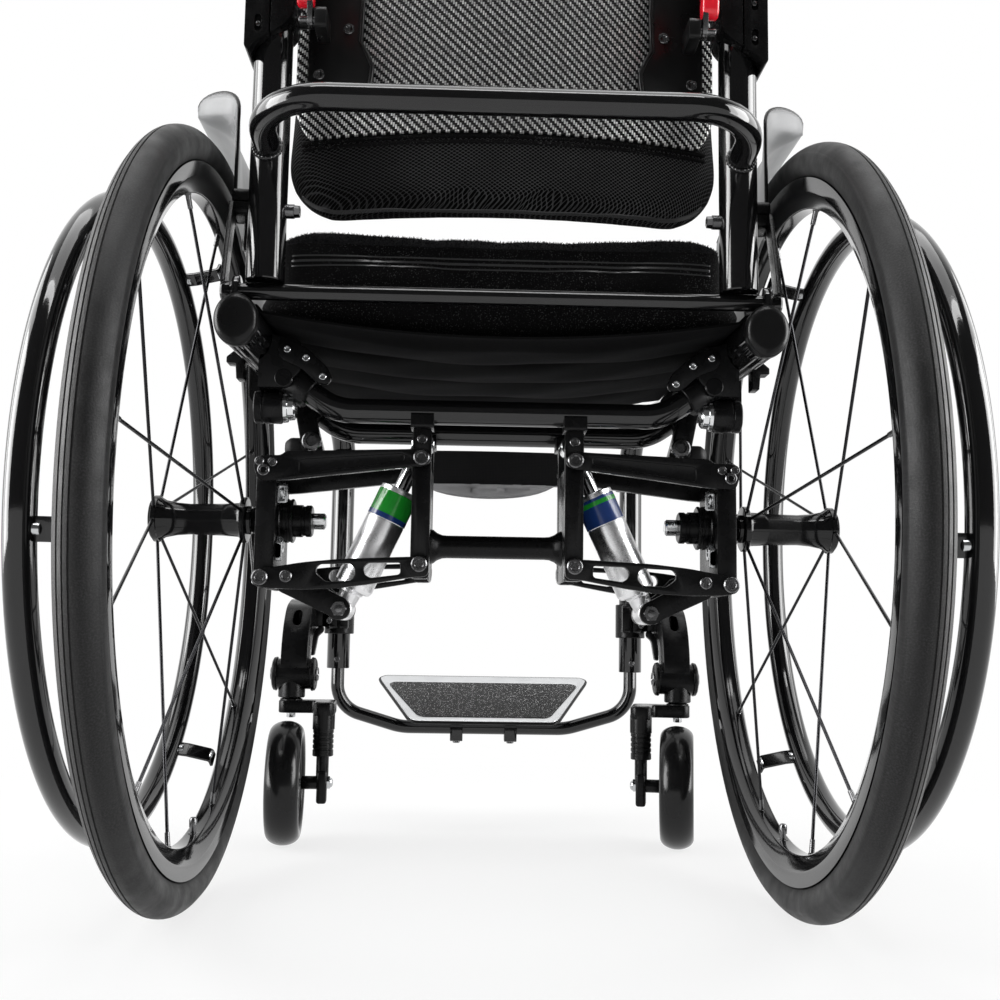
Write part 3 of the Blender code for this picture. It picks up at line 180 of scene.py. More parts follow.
def arc_path(corners, radii, steps=12):
    corners = [Vector(c) for c in corners]
    path = [corners[0]]
    for before, here, after, radius in zip(corners, corners[1:], corners[2:], radii):
        back = (before - here).normalized()
        on = (after - here).normalized()
        half = back.angle(on) / 2
        reach = radius / math.tan(half)
        centre = here + (back + on).normalized() * (radius / math.sin(half))
        first = here + back * reach - centre
        last = here + on * reach - centre
        turn = first.angle(last)
        for k in range(steps + 1):
            share = k / steps
            a = math.sin((1 - share) * turn) / math.sin(turn)
            b = math.sin(share * turn) / math.sin(turn)
            path.append(centre + first * a + last * b)
    path.append(corners[-1])
    return path


def sweep(path, section, side=(1, 0, 0), scale=None):
    """A closed section carried along a path. section may be one list or one for each point."""
    path = [Vector(p) for p in path]
    side = Vector(side)
    rings = []
    for k, here in enumerate(path):
        before, after = path[max(k - 1, 0)], path[min(k + 1, len(path) - 1)]
        along = ((after - here).normalized() if k < len(path) - 1 else Vector()) + (
            (here - before).normalized() if k else Vector()
        )
        along.normalize()
        side = (side - along * side.dot(along)).normalized()
        up = side.cross(along)
        wide, high = scale[k] if scale else (1, 1)
        here_section = section[k] if isinstance(section[0], list) else section
        rings.append([here + side * (a * wide) + up * (b * high) for a, b in here_section])
    return skin(rings)


def skin(rings, closed=False):
    """Faces between rings of equal length; the ends are capped unless the rings close on themselves."""
    n = len(rings[0])
    points = [p for ring in rings for p in ring]
    faces = [] if closed else [list(range(n)), list(range(len(points) - n, len(points)))]
    for k in range(len(rings) if closed else len(rings) - 1):
        m = (k + 1) % len(rings)
        for j in range(n):
            i = (j + 1) % n
            faces.append([k * n + j, k * n + i, m * n + i, m * n + j])
    return solid(points, faces)


def circle(radius, sides=ROUND):
    steps = [2 * math.pi * k / sides for k in range(sides)]
    return [(radius * math.cos(t), radius * math.sin(t)) for t in steps]


def tube(path, radius, sides=ROUND, side=(1, 0, 0)):
    return sweep(path, circle(radius, sides), side)


def rod(start, end, radius, sides=ROUND, ease=0.0):
    """A round bar; ease rounds its two rims."""
    start, end = Vector(start), Vector(end)
    way = end - start
    rings = [(0, radius), (way.length, radius)]
    if ease:
        rings = [(0, radius - ease), (ease * 0.3, radius - ease * 0.3), (ease, radius)]
        rings += [(way.length - h, r) for h, r in reversed(rings)]
    return stack(start, way, rings, sides)


def stack(at, way, rings, sides=ROUND):
    """Rings up an axis, each (height, radius), or (height, radius, 1) for a hexagon."""
    at, way = Vector(at), Vector(way).normalized()
    side = way.orthogonal().normalized()
    if abs(way.y) > 0.9:
        side = Vector((1, 0, 0))
    up = way.cross(side)
    made = []
    for height, radius, *hexed in rings:
        ring = []
        for k in range(sides):
            t = 2 * math.pi * k / sides
            r = radius
            if hexed:
                inner = math.cos(math.pi / 6) / math.cos(t % (math.pi / 3) - math.pi / 6)
                r = radius * inner
            ring.append(at + way * height + (side * math.cos(t) + up * math.sin(t)) * r)
        made.append(ring)
    return skin(made)


def screw(at, way, radius, high=None):
    """A socket-head screw, its hexagon recess in the outer face."""
    high = high or radius
    ease = radius * 0.14
    return stack(at, way, [
        (0, radius), (high - ease, radius), (high, radius - ease), (high, radius * 0.6),
        (high - ease * 0.8, radius * 0.54, 1), (high * 0.35, radius * 0.52, 1),
    ], 24)


def nut(at, way, radius, high, hole=0.5):
    """A hexagon nut with a chamfer on its outer face."""
    ease = radius * 0.13
    return stack(at, way, [
        (0, radius, 1), (high - ease, radius, 1), (high, radius * 0.86), (high, radius * hole),
        (high - ease, radius * hole * 0.9), (high * 0.5, radius * hole * 0.85),
    ], 24)


def turned(profile, sides, centre, axis="X", ring=False):
    frames = {"X": ((0, 1, 0), (0, 0, 1), (1, 0, 0)), "Z": ((1, 0, 0), (0, 1, 0), (0, 0, 1))}
    frames["Y"] = ((0, 0, 1), (1, 0, 0), (0, 1, 0))
    first, second, along = (Vector(v) for v in frames[axis])
    rings = []
    for k in range(sides):
        t = 2 * math.pi * k / sides
        out = first * math.cos(t) + second * math.sin(t)
        rings.append([Vector(centre) + along * h + out * r for h, r in profile])
    if ring:
        return skin(rings, True)
    n = len(profile)
    points = [p for r in rings for p in r]
    faces = [[k * n + j, (k + 1) % sides * n + j, (k + 1) % sides * n + j + 1, k * n + j + 1]
             for k in range(sides) for j in range(n - 1)]
    faces += [[k * n for k in range(sides)], [k * n + n - 1 for k in range(sides)]]
    return solid(points, faces)


def eased(points, radius, closed=True, steps=4):
    """The outline with its corners rounded."""
    points = [Vector(p) for p in points]
    made = []
    count = len(points)
    for k, here in enumerate(points):
        if not closed and k in (0, count - 1):
            made.append(tuple(here))
            continue
        before, after = points[k - 1] - here, points[(k + 1) % count] - here
        reach = min(radius, before.length * 0.45, after.length * 0.45)
        start, end = here + before.normalized() * reach, here + after.normalized() * reach
        for j in range(steps + 1):
            t = j / steps
            made.append(tuple(start * (1 - t) ** 2 + here * (2 * t * (1 - t)) + end * t ** 2))
    return made


def slab(outline, low, high, axis="Y"):
    spot = {
        "X": lambda a, b, c: (c, a, b),
        "Y": lambda a, b, c: (a, c, b),
        "Z": lambda a, b, c: (a, b, c),
    }[axis]
    low, high = min(low, high), max(low, high)
    return skin([[Vector(spot(a, b, c)) for a, b in outline] for c in (low, high)])


def block(x, y, z):
    (x0, x1), (y0, y1) = sorted(x), sorted(y)
    return slab([(x0, y0), (x1, y0), (x1, y1), (x0, y1)], z[0], z[1], "Z")


def capsule(start, end, radius, steps=14):
    start, end = Vector(start), Vector(end)
    tilt = math.atan2(end.y - start.y, end.x - start.x)
    outline = []
    for centre, first in ((end, tilt - math.pi / 2), (start, tilt + math.pi / 2)):
        for k in range(steps + 1):
            t = first + math.pi * k / steps
            outline.append((centre.x + radius * math.cos(t), centre.y + radius * math.sin(t)))
    return outline


def thick_sheet(grid, thickness):
    grid = np.array([[tuple(p) for p in row] for row in grid], float)
    rows, columns = grid.shape[:2]
    normal = np.cross(np.gradient(grid, axis=0), np.gradient(grid, axis=1))
    normal /= np.linalg.norm(normal, axis=2, keepdims=True)
    both = [grid + normal * thickness / 2, grid - normal * thickness / 2]
    points = np.concatenate([side.reshape(-1, 3) for side in both])
    count = rows * columns
    faces = []
    for i in range(rows - 1):
        for j in range(columns - 1):
            a = i * columns + j
            quad = [a, a + 1, a + columns + 1, a + columns]
            faces.append(quad)
            faces.append([count + q for q in reversed(quad)])
    rim = list(range(columns))
    rim += [i * columns + columns - 1 for i in range(1, rows)]
    rim += [(rows - 1) * columns + j for j in range(columns - 2, -1, -1)]
    rim += [i * columns for i in range(rows - 2, 0, -1)]
    for a, b in zip(rim, rim[1:] + rim[:1]):
        faces.append([a, b, count + b, count + a])
    return solid(points, faces)


def mirrored(half):
    """A profile drawn up to its middle, then its mirror image."""
    return half + [(-x, r) for x, r in reversed(half)]


def move(base, matrix):
    base.data.transform(matrix)
    if matrix.determinant() < 0:
        base.data.flip_normals()
    return base


def sided(base, s):
    """The shape for the right, mirrored for the left."""
    return base if s > 0 else move(base, Matrix.Diagonal((-1, 1, 1, 1)))


def turn_about(base, angle, centre):
    spot = Matrix.Translation(Vector(centre))
    return move(base, spot @ Matrix.Rotation(math.radians(angle), 4, "Z") @ spot.inverted())


# Materials

class Nodes:
    """A node tree being filled: node() adds one node and gives one of its outputs."""

    def __init__(self, tree):
        self.tree = tree

    def put(self, socket, value):
        if isinstance(value, bpy.types.NodeSocket):
            self.tree.links.new(value, socket)
        else:
            socket.default_value = value

    def node(self, kind, inputs=None, out=0, **settings):
        made = self.tree.nodes.new("ShaderNode" + kind)
        for key, value in settings.items():
            setattr(made, key, value)
        for key, value in (inputs or {}).items():
            self.put(made.inputs[key], value)
        return made.outputs[out]

    def math(self, operation, a, b=0.0, c=0.0):
        return self.node("Math", {0: a, 1: b, 2: c}, operation=operation)

    def times(self, a, b):
        return self.math("MULTIPLY", a, b)

    def plus(self, a, b):
        return self.math("ADD", a, b)

    def fit(self, value, low, high, to_low, to_high, **settings):
        return self.node("MapRange", {0: value, 1: low, 2: high, 3: to_low, 4: to_high}, **settings)

    def rays(self):
        return self.tree.nodes.new("ShaderNodeLightPath").outputs


class Look(Nodes):
    """A material being made from one principled shader."""

    def __init__(self, name, color, rough, metal=0.0, **plain):
        self.mat = bpy.data.materials.new(name)
        self.mat.use_nodes = True
        self.mat.diffuse_color = (*color, 1)
        super().__init__(self.mat.node_tree)
        self.shader = self.tree.nodes["Principled BSDF"]
        self.set(**{"Base Color": (*color, 1), "Roughness": rough, "Metallic": metal}, **plain)
        self.here = self.node("TexCoord", out="Object")

    def set(self, **values):
        for key, value in values.items():
            self.put(self.shader.inputs[key], value)
        return self

    def noise(self, scale, detail=2.0, stretch=None, at=None):
        place = at or self.here
        if stretch:
            place = self.node("Mapping", {"Vector": place, "Scale": stretch})
        return self.node("TexNoise", {"Vector": place, "Scale": scale, "Detail": detail}, "Fac")

    def mix(self, share, a, b):
        return self.node("Mix", {0: share, 6: (*a, 1) if isinstance(a, tuple) else a,
                                 7: (*b, 1) if isinstance(b, tuple) else b}, 2, data_type="RGBA")

    def axes(self, at=None):
        made = self.tree.nodes.new("ShaderNodeSeparateXYZ")
        self.put(made.inputs[0], at or self.here)
        return made.outputs

    def bump(self, *layers):
        """Each layer is (height, strength, depth in metres); they stack."""
        normal = None
        for height, strength, depth in layers:
            inputs = {"Height": height, "Strength": strength, "Distance": depth}
            if normal:
                inputs["Normal"] = normal
            normal = self.node("Bump", inputs)
        return self.set(Normal=normal)


def gloss(name, color, rough=0.07, peel=0.05, coat=0.35):
    """Powder coat under thin lacquer: orange peel, faint dust and duller patches."""
    look = Look(name, color, rough, **{"Specular IOR Level": 0.36, "Coat Weight": coat,
        "Coat Roughness": 0.03})
    haze = look.noise(14, 4)
    bright = tuple(min(1.0, c * 1.5 + 0.002) for c in color)
    look.set(**{"Base Color": look.mix(look.fit(haze, 0.35, 0.75, 0, 1), color, bright),
                "Roughness": look.fit(haze, 0.3, 0.7, rough * 0.8, rough * 1.7)})
    return look.bump((look.noise(700, 1), peel, 0.0004), (look.noise(2600, 1), peel * 0.5, 0.0002)).mat


def anodised(name, color, rough=0.3, metal=0.25):
    """Bead-blasted aluminium, dyed: fine grain, with slightly paler and smoother high spots."""
    look = Look(name, color, rough, metal, **{"Specular IOR Level": 0.2})
    cloud, grain = look.noise(22, 5), look.noise(3200, 2)
    bright = tuple(c * 1.7 + 0.002 for c in color)
    look.set(**{"Base Color": look.mix(look.fit(cloud, 0.3, 0.8, 0, 1), color, bright),
                "Roughness": look.fit(look.noise(90, 3), 0.3, 0.7, rough - 0.06, rough + 0.08)})
    return look.bump((grain, 0.14, 0.0003), (look.noise(260, 3), 0.05, 0.0004)).mat


def moulded(name, color, rough=0.42, grain=0.12, coat=0.0):
    """Moulded plastic with its fine spark-eroded grain."""
    look = Look(name, color, rough, **{"Specular IOR Level": 0.18, "Coat Weight": coat,
        "Coat Roughness": 0.12})
    cloud = look.noise(30, 4)
    bright = tuple(c * 1.35 + 0.002 for c in color)
    look.set(**{"Base Color": look.mix(cloud, color, bright),
                "Roughness": look.fit(cloud, 0.3, 0.7, rough - 0.05, rough + 0.07)})
    return look.bump((look.noise(1500, 3), grain, 0.0004)).mat


def metal(name, color, rough, brushed=(1, 1, 1), depth=0.05):
    """Bare metal: drawn grain, small scratches and cloudy polish."""
    look = Look(name, color, rough, 1.0)
    grain = look.noise(900, 3, brushed)
    cloud = look.noise(40, 4)
    dull = tuple(c * 0.86 for c in color)
    scratch = look.times(grain, cloud)
    look.set(**{"Base Color": look.mix(look.fit(cloud, 0.3, 0.7, 0, 1), color, dull),
                "Roughness": look.fit(scratch, 0.1, 0.45, rough * 0.75, rough * 1.45)})
    return look.bump((grain, depth, 0.0003)).mat


def tyre_look(name, color, side):
    """Rubber with the fine cross lines and dusting that a moulded tread has, and painted light: its outboard
    face is painted paler than its inboard face.
    """
    look = Look(name, color, 0.48, **{"Specular IOR Level": 0.22, "Sheen Weight": 0.02,
        "Sheen Roughness": 0.5})
    at = look.node("Mapping", {"Vector": look.here, "Location": (-side * TRACK, -AXLE_Y, -WHEEL_R)})
    x, y, z = look.axes(at)
    angle = look.math("ARCTAN2", y, z)
    around = look.node("CombineXYZ", {0: look.times(angle, 260.0), 1: look.times(x, 900.0)})
    lines = look.node("TexNoise", {"Vector": around, "Scale": 1.0, "Detail": 3.0}, "Fac")
    dust = look.noise(60, 5)
    # Painted light: the outboard face is painted paler, as if lit from that side, and the inboard face stays
    # dark.
    outer = look.fit(look.times(x, side), -0.004, 0.012, 0.0, 1.0)
    lit_side_tone = look.mix(outer, color, (0.04, 0.039, 0.039))
    pale = look.mix(outer, tuple(c * 2.2 + 0.008 for c in color), (0.085, 0.083, 0.083))
    share = look.times(look.fit(lines, 0.42, 0.68, 0, 1), look.fit(dust, 0.3, 0.7, 0.35, 1))
    look.set(**{"Base Color": look.mix(share, lit_side_tone, pale), "Roughness": look.fit(dust, 0.3, 0.7, 0.42, 0.62)})
    return look.bump((lines, 0.22, 0.0005), (look.noise(1800, 3), 0.2, 0.0004)).mat


def weave(name, color, pitch=0.0011, flat=("x", "y"), fuzz=0.35, rough=0.9, sheen=0.02, depth=0.0003,
    lint=0.0):
    """Plain woven cloth: threads over and under along two of the axes, with fibre fuzz on top; the thread
    crowns are painted paler as painted highlight and the gaps between threads darker as painted shade.
    """
    look = Look(name, color, rough, **{
        "Sheen Weight": sheen, "Sheen Roughness": 0.45, "Sheen Tint": (0.75, 0.76, 0.8, 1),
        "Specular IOR Level": 0.06,
    })
    place = dict(zip("xyz", look.axes()))
    turn = math.pi / pitch
    a, b = (look.times(place[k], turn) for k in flat)
    wobble = look.times(look.noise(300, 2), 1.3)
    a, b = look.plus(a, wobble), look.plus(b, wobble)
    over = look.times(look.math("SINE", a), look.math("SINE", b))
    across = look.math("ABSOLUTE", look.math("SINE", look.plus(a, b)))
    height = look.plus(look.times(look.math("ABSOLUTE", over), 0.7), look.times(across, 0.3))
    fibres = look.noise(2400, 3)
    cloud = look.noise(18, 4)
    pale = tuple(c * 2.4 + 0.003 for c in color)
    # Painted light: paler on the raised crowns of the threads, darker in the gaps between them.
    share = look.times(look.fit(height, 0.1, 1.0, 0.0, 0.75), look.fit(cloud, 0.3, 0.7, 0.55, 1.0))
    tone = look.mix(share, color, pale)
    if lint:
        specks = look.times(look.fit(look.noise(850, 1), 0.6, 0.7, 0.0, 1.0),
            look.fit(cloud, 0.4, 0.6, 0.2, 1.0))
        tone = look.mix(specks, tone, (lint, lint, lint))
    look.set(**{"Base Color": tone})
    return look.bump((height, 0.55, depth), (fibres, fuzz, 0.0005)).mat


def spacer_mesh(name, color):
    """Open knitted mesh: small diamond cells in offset rows, the cell walls painted pale as painted highlight
    and the cells painted near black as painted shade.
    """
    look = Look(name, color, 0.75, **{"Sheen Weight": 0.01, "Sheen Roughness": 0.4,
        "Sheen Tint": (0.8, 0.8, 0.85, 1), "Specular IOR Level": 0.05})
    x, y, z = look.axes()
    drift = look.times(look.noise(25, 2), 2.2)
    tall = look.times(z, 1.45)
    deep = look.plus(look.plus(x, tall), look.times(y, 1.3))
    a = look.plus(look.times(deep, 800.0), drift)
    b = look.plus(look.times(look.math("SUBTRACT", x, tall), 800.0), drift)
    cell = look.times(look.math("SINE", a), look.math("SINE", b))
    wall = look.fit(look.math("ABSOLUTE", cell), 0.05, 0.42, 1.0, 0.0)
    yarn = look.noise(2200, 2)
    cloud = look.noise(9, 3)
    # Painted light: pale walls stand for lit yarn, near-black cells for the shade inside the holes.
    pale = tuple(c * 6.0 + 0.06 for c in color)
    dark = tuple(c * 0.08 for c in color)
    share = look.times(wall, look.fit(cloud, 0.35, 0.65, 0.3, 1.0))
    look.set(**{"Base Color": look.mix(share, dark, pale)})
    return look.bump((wall, 0.8, 0.0006), (yarn, 0.3, 0.0003)).mat


def fleece(name, color):
    """Brushed cloth for the cushion's top: short fuzz in soft clumps, the raised clumps painted paler as
    painted highlight.
    """
    look = Look(name, color, 1.0, **{"Sheen Weight": 0.08, "Sheen Roughness": 0.55,
        "Sheen Tint": (0.7, 0.7, 0.75, 1), "Specular IOR Level": 0.05})
    clump, fibre, cloud = look.noise(420, 4), look.noise(2600, 3), look.noise(22, 4)
    pale = tuple(c * 2.8 + 0.008 for c in color)
    # Painted light: the clumps that stand up are painted paler, as lit fuzz.
    share = look.times(look.fit(clump, 0.42, 0.72, 0, 1), look.fit(cloud, 0.3, 0.7, 0.4, 1))
    look.set(**{"Base Color": look.mix(share, color, pale)})
    return look.bump((clump, 0.7, 0.0012), (fibre, 0.5, 0.0006)).mat


def twill(name, cell=0.0017):
    """Carbon fibre, two over and two under, in clear gloss; each tow is a rounded float of fibres. The tows
    of one direction are painted pale, brightest on their crowns, as a painted reflection.
    """
    look = Look(name, (0.03, 0.03, 0.032), 0.24, **{
        "Specular IOR Level": 0.1, "Coat Weight": 0.1, "Coat Roughness": 0.03,
    })
    x, _, z = look.axes()
    a, b = look.math("DIVIDE", x, cell), look.math("DIVIDE", z, cell)
    row, column = look.math("FLOOR", b), look.math("FLOOR", a)
    step = look.math("FLOORED_MODULO", look.plus(row, column), 4.0)
    warp = look.math("LESS_THAN", step, 1.5)
    across = look.math("SUBTRACT", look.math("FRACT", a), 0.5)
    along = look.math("SUBTRACT", look.math("FRACT", b), 0.5)
    bulge_a = look.math("SUBTRACT", 1.0, look.times(look.times(across, across), 3.6))
    bulge_b = look.math("SUBTRACT", 1.0, look.times(look.times(along, along), 3.6))
    pick = look.node("Mix", {0: warp, 2: bulge_b, 3: bulge_a}, 0, data_type="FLOAT")
    fibre_a = look.noise(60, 3, (60, 60, 4))
    fibre_b = look.noise(60, 3, (4, 60, 60))
    fibre = look.node("Mix", {0: warp, 2: fibre_b, 3: fibre_a}, 0, data_type="FLOAT")
    # Painted reflection: the warp tows are painted pale, brightest on each crown and in sparkling spots; the
    # weft tows stay near black.
    sheen = look.times(look.fit(pick, 0.25, 0.9, 0, 1), look.fit(fibre, 0.3, 0.65, 0.45, 1.0))
    spark = look.fit(look.noise(520, 2), 0.38, 0.62, 0.35, 1.0)
    shine = look.times(sheen, spark)
    bright = look.mix(shine, (0.05, 0.05, 0.052), (0.97, 0.97, 0.96))
    tone = look.mix(warp, (0.0015, 0.0015, 0.0016), bright)
    look.set(**{"Base Color": tone, "Roughness": look.fit(fibre, 0.3, 0.7, 0.26, 0.4),
                "Metallic": look.times(look.times(warp, shine), 0.9)})
    look.bump((pick, 0.7, 0.0004), (fibre, 0.12, 0.0002))
    peel = look.node("Bump", {"Height": look.noise(120, 2), "Strength": 0.03, "Distance": 0.0006})
    return look.set(**{"Coat Normal": peel}).mat


def speckle(name):
    """Coarse grip sheet: pale grains set in dark binder."""
    look = Look(name, (0.03, 0.03, 0.031), 0.92, **{"Specular IOR Level": 0.3})
    grain = look.node("TexVoronoi", {"Vector": look.here, "Scale": 640.0}, "Distance")
    tone = look.node("TexVoronoi", {"Vector": look.here, "Scale": 640.0}, "Color")
    pick = look.axes(tone)[0]
    spot = look.times(look.math("LESS_THAN", grain, 0.34), look.math("GREATER_THAN", pick, 0.52))
    fine = look.noise(1900, 3)
    base = look.mix(look.fit(fine, 0.35, 0.7, 0, 1), (0.022, 0.022, 0.023), (0.1, 0.1, 0.1))
    look.set(**{"Base Color": look.mix(spot, base, look.mix(pick, (0.2, 0.2, 0.2), (0.62, 0.62, 0.62)))})
    return look.bump((look.math("SUBTRACT", 1.0, grain), 0.8, 0.0006), (fine, 0.4, 0.0005)).mat


def guard_look(name):
    """Satin grey composite sheet with a fine metallic fleck, painted paler up its height as a painted
    reflection and dark towards its foot as painted shade.
    """
    look = Look(name, (0.12, 0.122, 0.125), 0.42, **{"Specular IOR Level": 0.25, "Coat Weight": 0.1,
        "Coat Roughness": 0.2})
    z = look.axes()[2]
    # Painted light: the colour ramps from dark at the foot to pale grey higher up.
    lift = look.fit(z, 0.5, 0.64, 0.0, 1.0)
    fleck, cloud = look.noise(1500, 2), look.noise(20, 4)
    tone = look.mix(lift, (0.02, 0.0205, 0.021), (0.24, 0.244, 0.248))
    tone = look.mix(look.fit(fleck, 0.52, 0.72, 0, 0.15), tone, (0.3, 0.31, 0.32))
    look.set(**{"Base Color": tone, "Roughness": look.fit(cloud, 0.3, 0.7, 0.27, 0.42)})
    return look.bump((fleck, 0.08, 0.0002)).mat


def floor_look(name):
    """White floor that keeps the shadow near the chair and fades to the white background."""
    look = Look(name, (0.92, 0.92, 0.92), 0.9, **{"Specular IOR Level": 0.1})
    x, y, _ = look.axes()
    reach = look.math("POWER", look.plus(look.times(x, x), look.times(y, y)), 0.5)
    look.bump((look.noise(400, 3), 0.02, 0.0004))
    ray = look.rays()
    seen = look.math("MAXIMUM", ray["Is Glossy Ray"], ray["Is Transmission Ray"])
    seen = look.math("MAXIMUM", ray["Is Camera Ray"], seen)
    share = look.times(seen, look.fit(reach, 0.4, 0.95, 0.78, 1.0))
    white = look.node("Emission", {"Color": (1, 1, 1, 1), "Strength": 1.0})
    mixed = look.node("MixShader", {0: share, 1: look.shader.outputs[0], 2: white})
    look.put(look.tree.nodes["Material Output"].inputs["Surface"], mixed)
    return look.mat


BLACK = gloss("gloss_black", (0.0035, 0.0035, 0.0038))
RIM = gloss("rim_black", (0.003, 0.003, 0.0033), 0.06, 0.03, 0.0)
SATIN = anodised("satin_black", (0.0045, 0.0045, 0.0048), 0.26)
RAIL = gloss("rail_black", (0.0035, 0.0035, 0.0038), 0.05, 0.02, 0.7)
DARK = anodised("dark_steel", (0.11, 0.11, 0.112), 0.22, 0.95)
CAP = moulded("cap_black", (0.004, 0.004, 0.0042), 0.3, 0.06, 0.08)
PLASTIC = moulded("hub_black", (0.006, 0.006, 0.0063), 0.26, 0.05, 0.15)
ELASTOMER = moulded("elastomer_black", (0.008, 0.008, 0.0083), 0.5, 0.2)
# One tyre look for each side, each painted paler on its outboard face as painted light.
TREAD = {s: tyre_look(f"tyre_rubber_{label}", (0.007, 0.007, 0.0073), s) for label, s in SIDES.items()}
CASTER_RUBBER = moulded("caster_rubber", (0.006, 0.006, 0.0063), 0.22, 0.05, 0.2)
SILVER = metal("polished_aluminium", (0.8, 0.81, 0.82), 0.14, (1, 8, 1))
STEEL = metal("bolt_steel", (0.55, 0.56, 0.57), 0.22)
DRAWN = metal("drawn_aluminium", (0.9, 0.9, 0.91), 0.3, (1, 1, 6), 0.1)
PALE = metal("pale_aluminium", (0.74, 0.75, 0.76), 0.34, (18, 1, 1), 0.12)
SPOKE = metal("spoke_black", (0.03, 0.03, 0.032), 0.25)
GRIP = speckle("grip_pad")
CLOTH = weave("seat_cloth", (0.001, 0.001, 0.0011))
STRAP = weave("strap_cloth", (0.006, 0.006, 0.0063), 0.0016, ("x", "z"), 0.2, 0.85, 0.03, 0.0005)
SIDE_CLOTH = weave("cushion_side_cloth", (0.0022, 0.0022, 0.0024), 0.0012, ("x", "z"), 0.3, lint=0.06)
FLEECE = fleece("cushion_top_cloth", (0.004, 0.004, 0.0043))
MESH = spacer_mesh("back_mesh", (0.003, 0.003, 0.0033))
CARBON = twill("carbon_twill")
RED = gloss("red_lever", (0.62, 0.006, 0.018), 0.14, 0.03, 0.4)
GUARD = guard_look("guard_grey")
BLUE = gloss("band_blue", (0.012, 0.045, 0.2), 0.2, 0.03, 0.3)
GREEN = gloss("band_green", (0.015, 0.34, 0.03), 0.2, 0.03, 0.3)
ZIP = moulded("zip_black", (0.05, 0.05, 0.051), 0.3, 0.05, 0.3)
# A paler grey weave for the calf strap's slack lower part.
SLACK_GREY = weave("strap_slack_grey", (0.22, 0.22, 0.223), 0.0012, ("x", "z"), 0.5, 0.8, 0.1, 0.0005)
FLOOR = floor_look("floor_white")


# Frame

def cross_path(y, z):
    end_x, end_z = CROSS_END
    end_z += z - CROSS_REAR[1]
    corners = [(-end_x, y, end_z), (-CROSS_BEND_X, y, z), (CROSS_BEND_X, y, z), (end_x, y, end_z)]
    return arc_path(corners, [0.045, 0.045], 12)


def fluted(deep):
    """The rail's oval, its underside drawn with flutes."""
    made = []
    for k in range(144):
        t = 360 * k / 144
        u = (t - 200) / 140
        flute = max(0.0, 0.5 - 0.5 * math.cos(2 * math.pi * 6 * u)) ** 1.5 if 0 < u < 1 else 0.0
        r = 1 - deep * flute
        made.append((r * math.cos(math.radians(t)), r * math.sin(math.radians(t))))
    return made


def side_frame(label, s):
    front = rail_z(LEG_Y)
    corners = [
        (s * RAIL_X, RAIL_BACK, SEAT_Z), (s * RAIL_X, TAPER_Y, rail_z(TAPER_Y)),
        (s * LEG_X, LEG_Y, front), (s * LEG_X, LEG_Y, LEG_END_Z),
    ]
    path = arc_path(corners, [0.15, LEG_BEND], 16)
    scale = []
    for p in path:
        t = min(1.0, max(0.0, (p.y - TAPER_Y) / (LEG_Y - TAPER_Y - 0.02)))
        scale.append([size / 2 + t * (LEG_D - size) / 2 for size in (RAIL_WIDE, RAIL_HIGH)])
    section = [fluted(0.085 * min(1.0, max(0.0, (TAPER_Y - p.y) / 0.06))) for p in path]
    base = sweep(path, section, (1, 0, 0), scale)
    socket = rod((s * LEG_X, LEG_Y, LEG_END_Z - 0.01), (s * LEG_X, LEG_Y, LEG_END_Z + 0.025),
        FOOT_TUBE_D / 2 + GAP)
    base = soften(cut(base, socket), 0.0009, 2, 62)
    lug_x = sorted((s * (RAIL_X + 0.0015), s * (RAIL_X + 0.0065)))
    lug = soften(slab(capsule((HINGE_Y, SEAT_Z), (HINGE_Y, HINGE_Z), 0.0115), *lug_x, "X"), 0.0008)
    cut(lug, rod((s * 0.1, HINGE_Y, HINGE_Z), (s * 0.25, HINGE_Y, HINGE_Z), HINGE_D / 2 + GAP))
    piece(join(base, lug), f"frame_{label}", RAIL, "frame", [f"side_frame_{label}"], angle=40)

    cap = turned([
        (-0.0102, 0.55), (-0.0104, 0.72), (-0.01, 0.84), (-0.0088, 0.955), (-0.008, 0.985), (-0.0076, 0.985),
        (-0.0074, 1.02), (-0.0068, 1.04), (-0.003, 1.045), (-0.0012, 1.045), (-GAP, 1.035),
    ], 48, (0, 0, 0), "Y")
    move(cap, Matrix.Diagonal((RAIL_WIDE / 2, 1, RAIL_HIGH / 2, 1)))
    lean = Matrix.Rotation(math.radians(SEAT_RISE), 4, "X")
    move(cap, Matrix.Translation((s * RAIL_X, RAIL_BACK, SEAT_Z)) @ lean)
    piece(cap, f"end_cap_{label}", CAP, "frame", [f"rail_cap_{label}"])


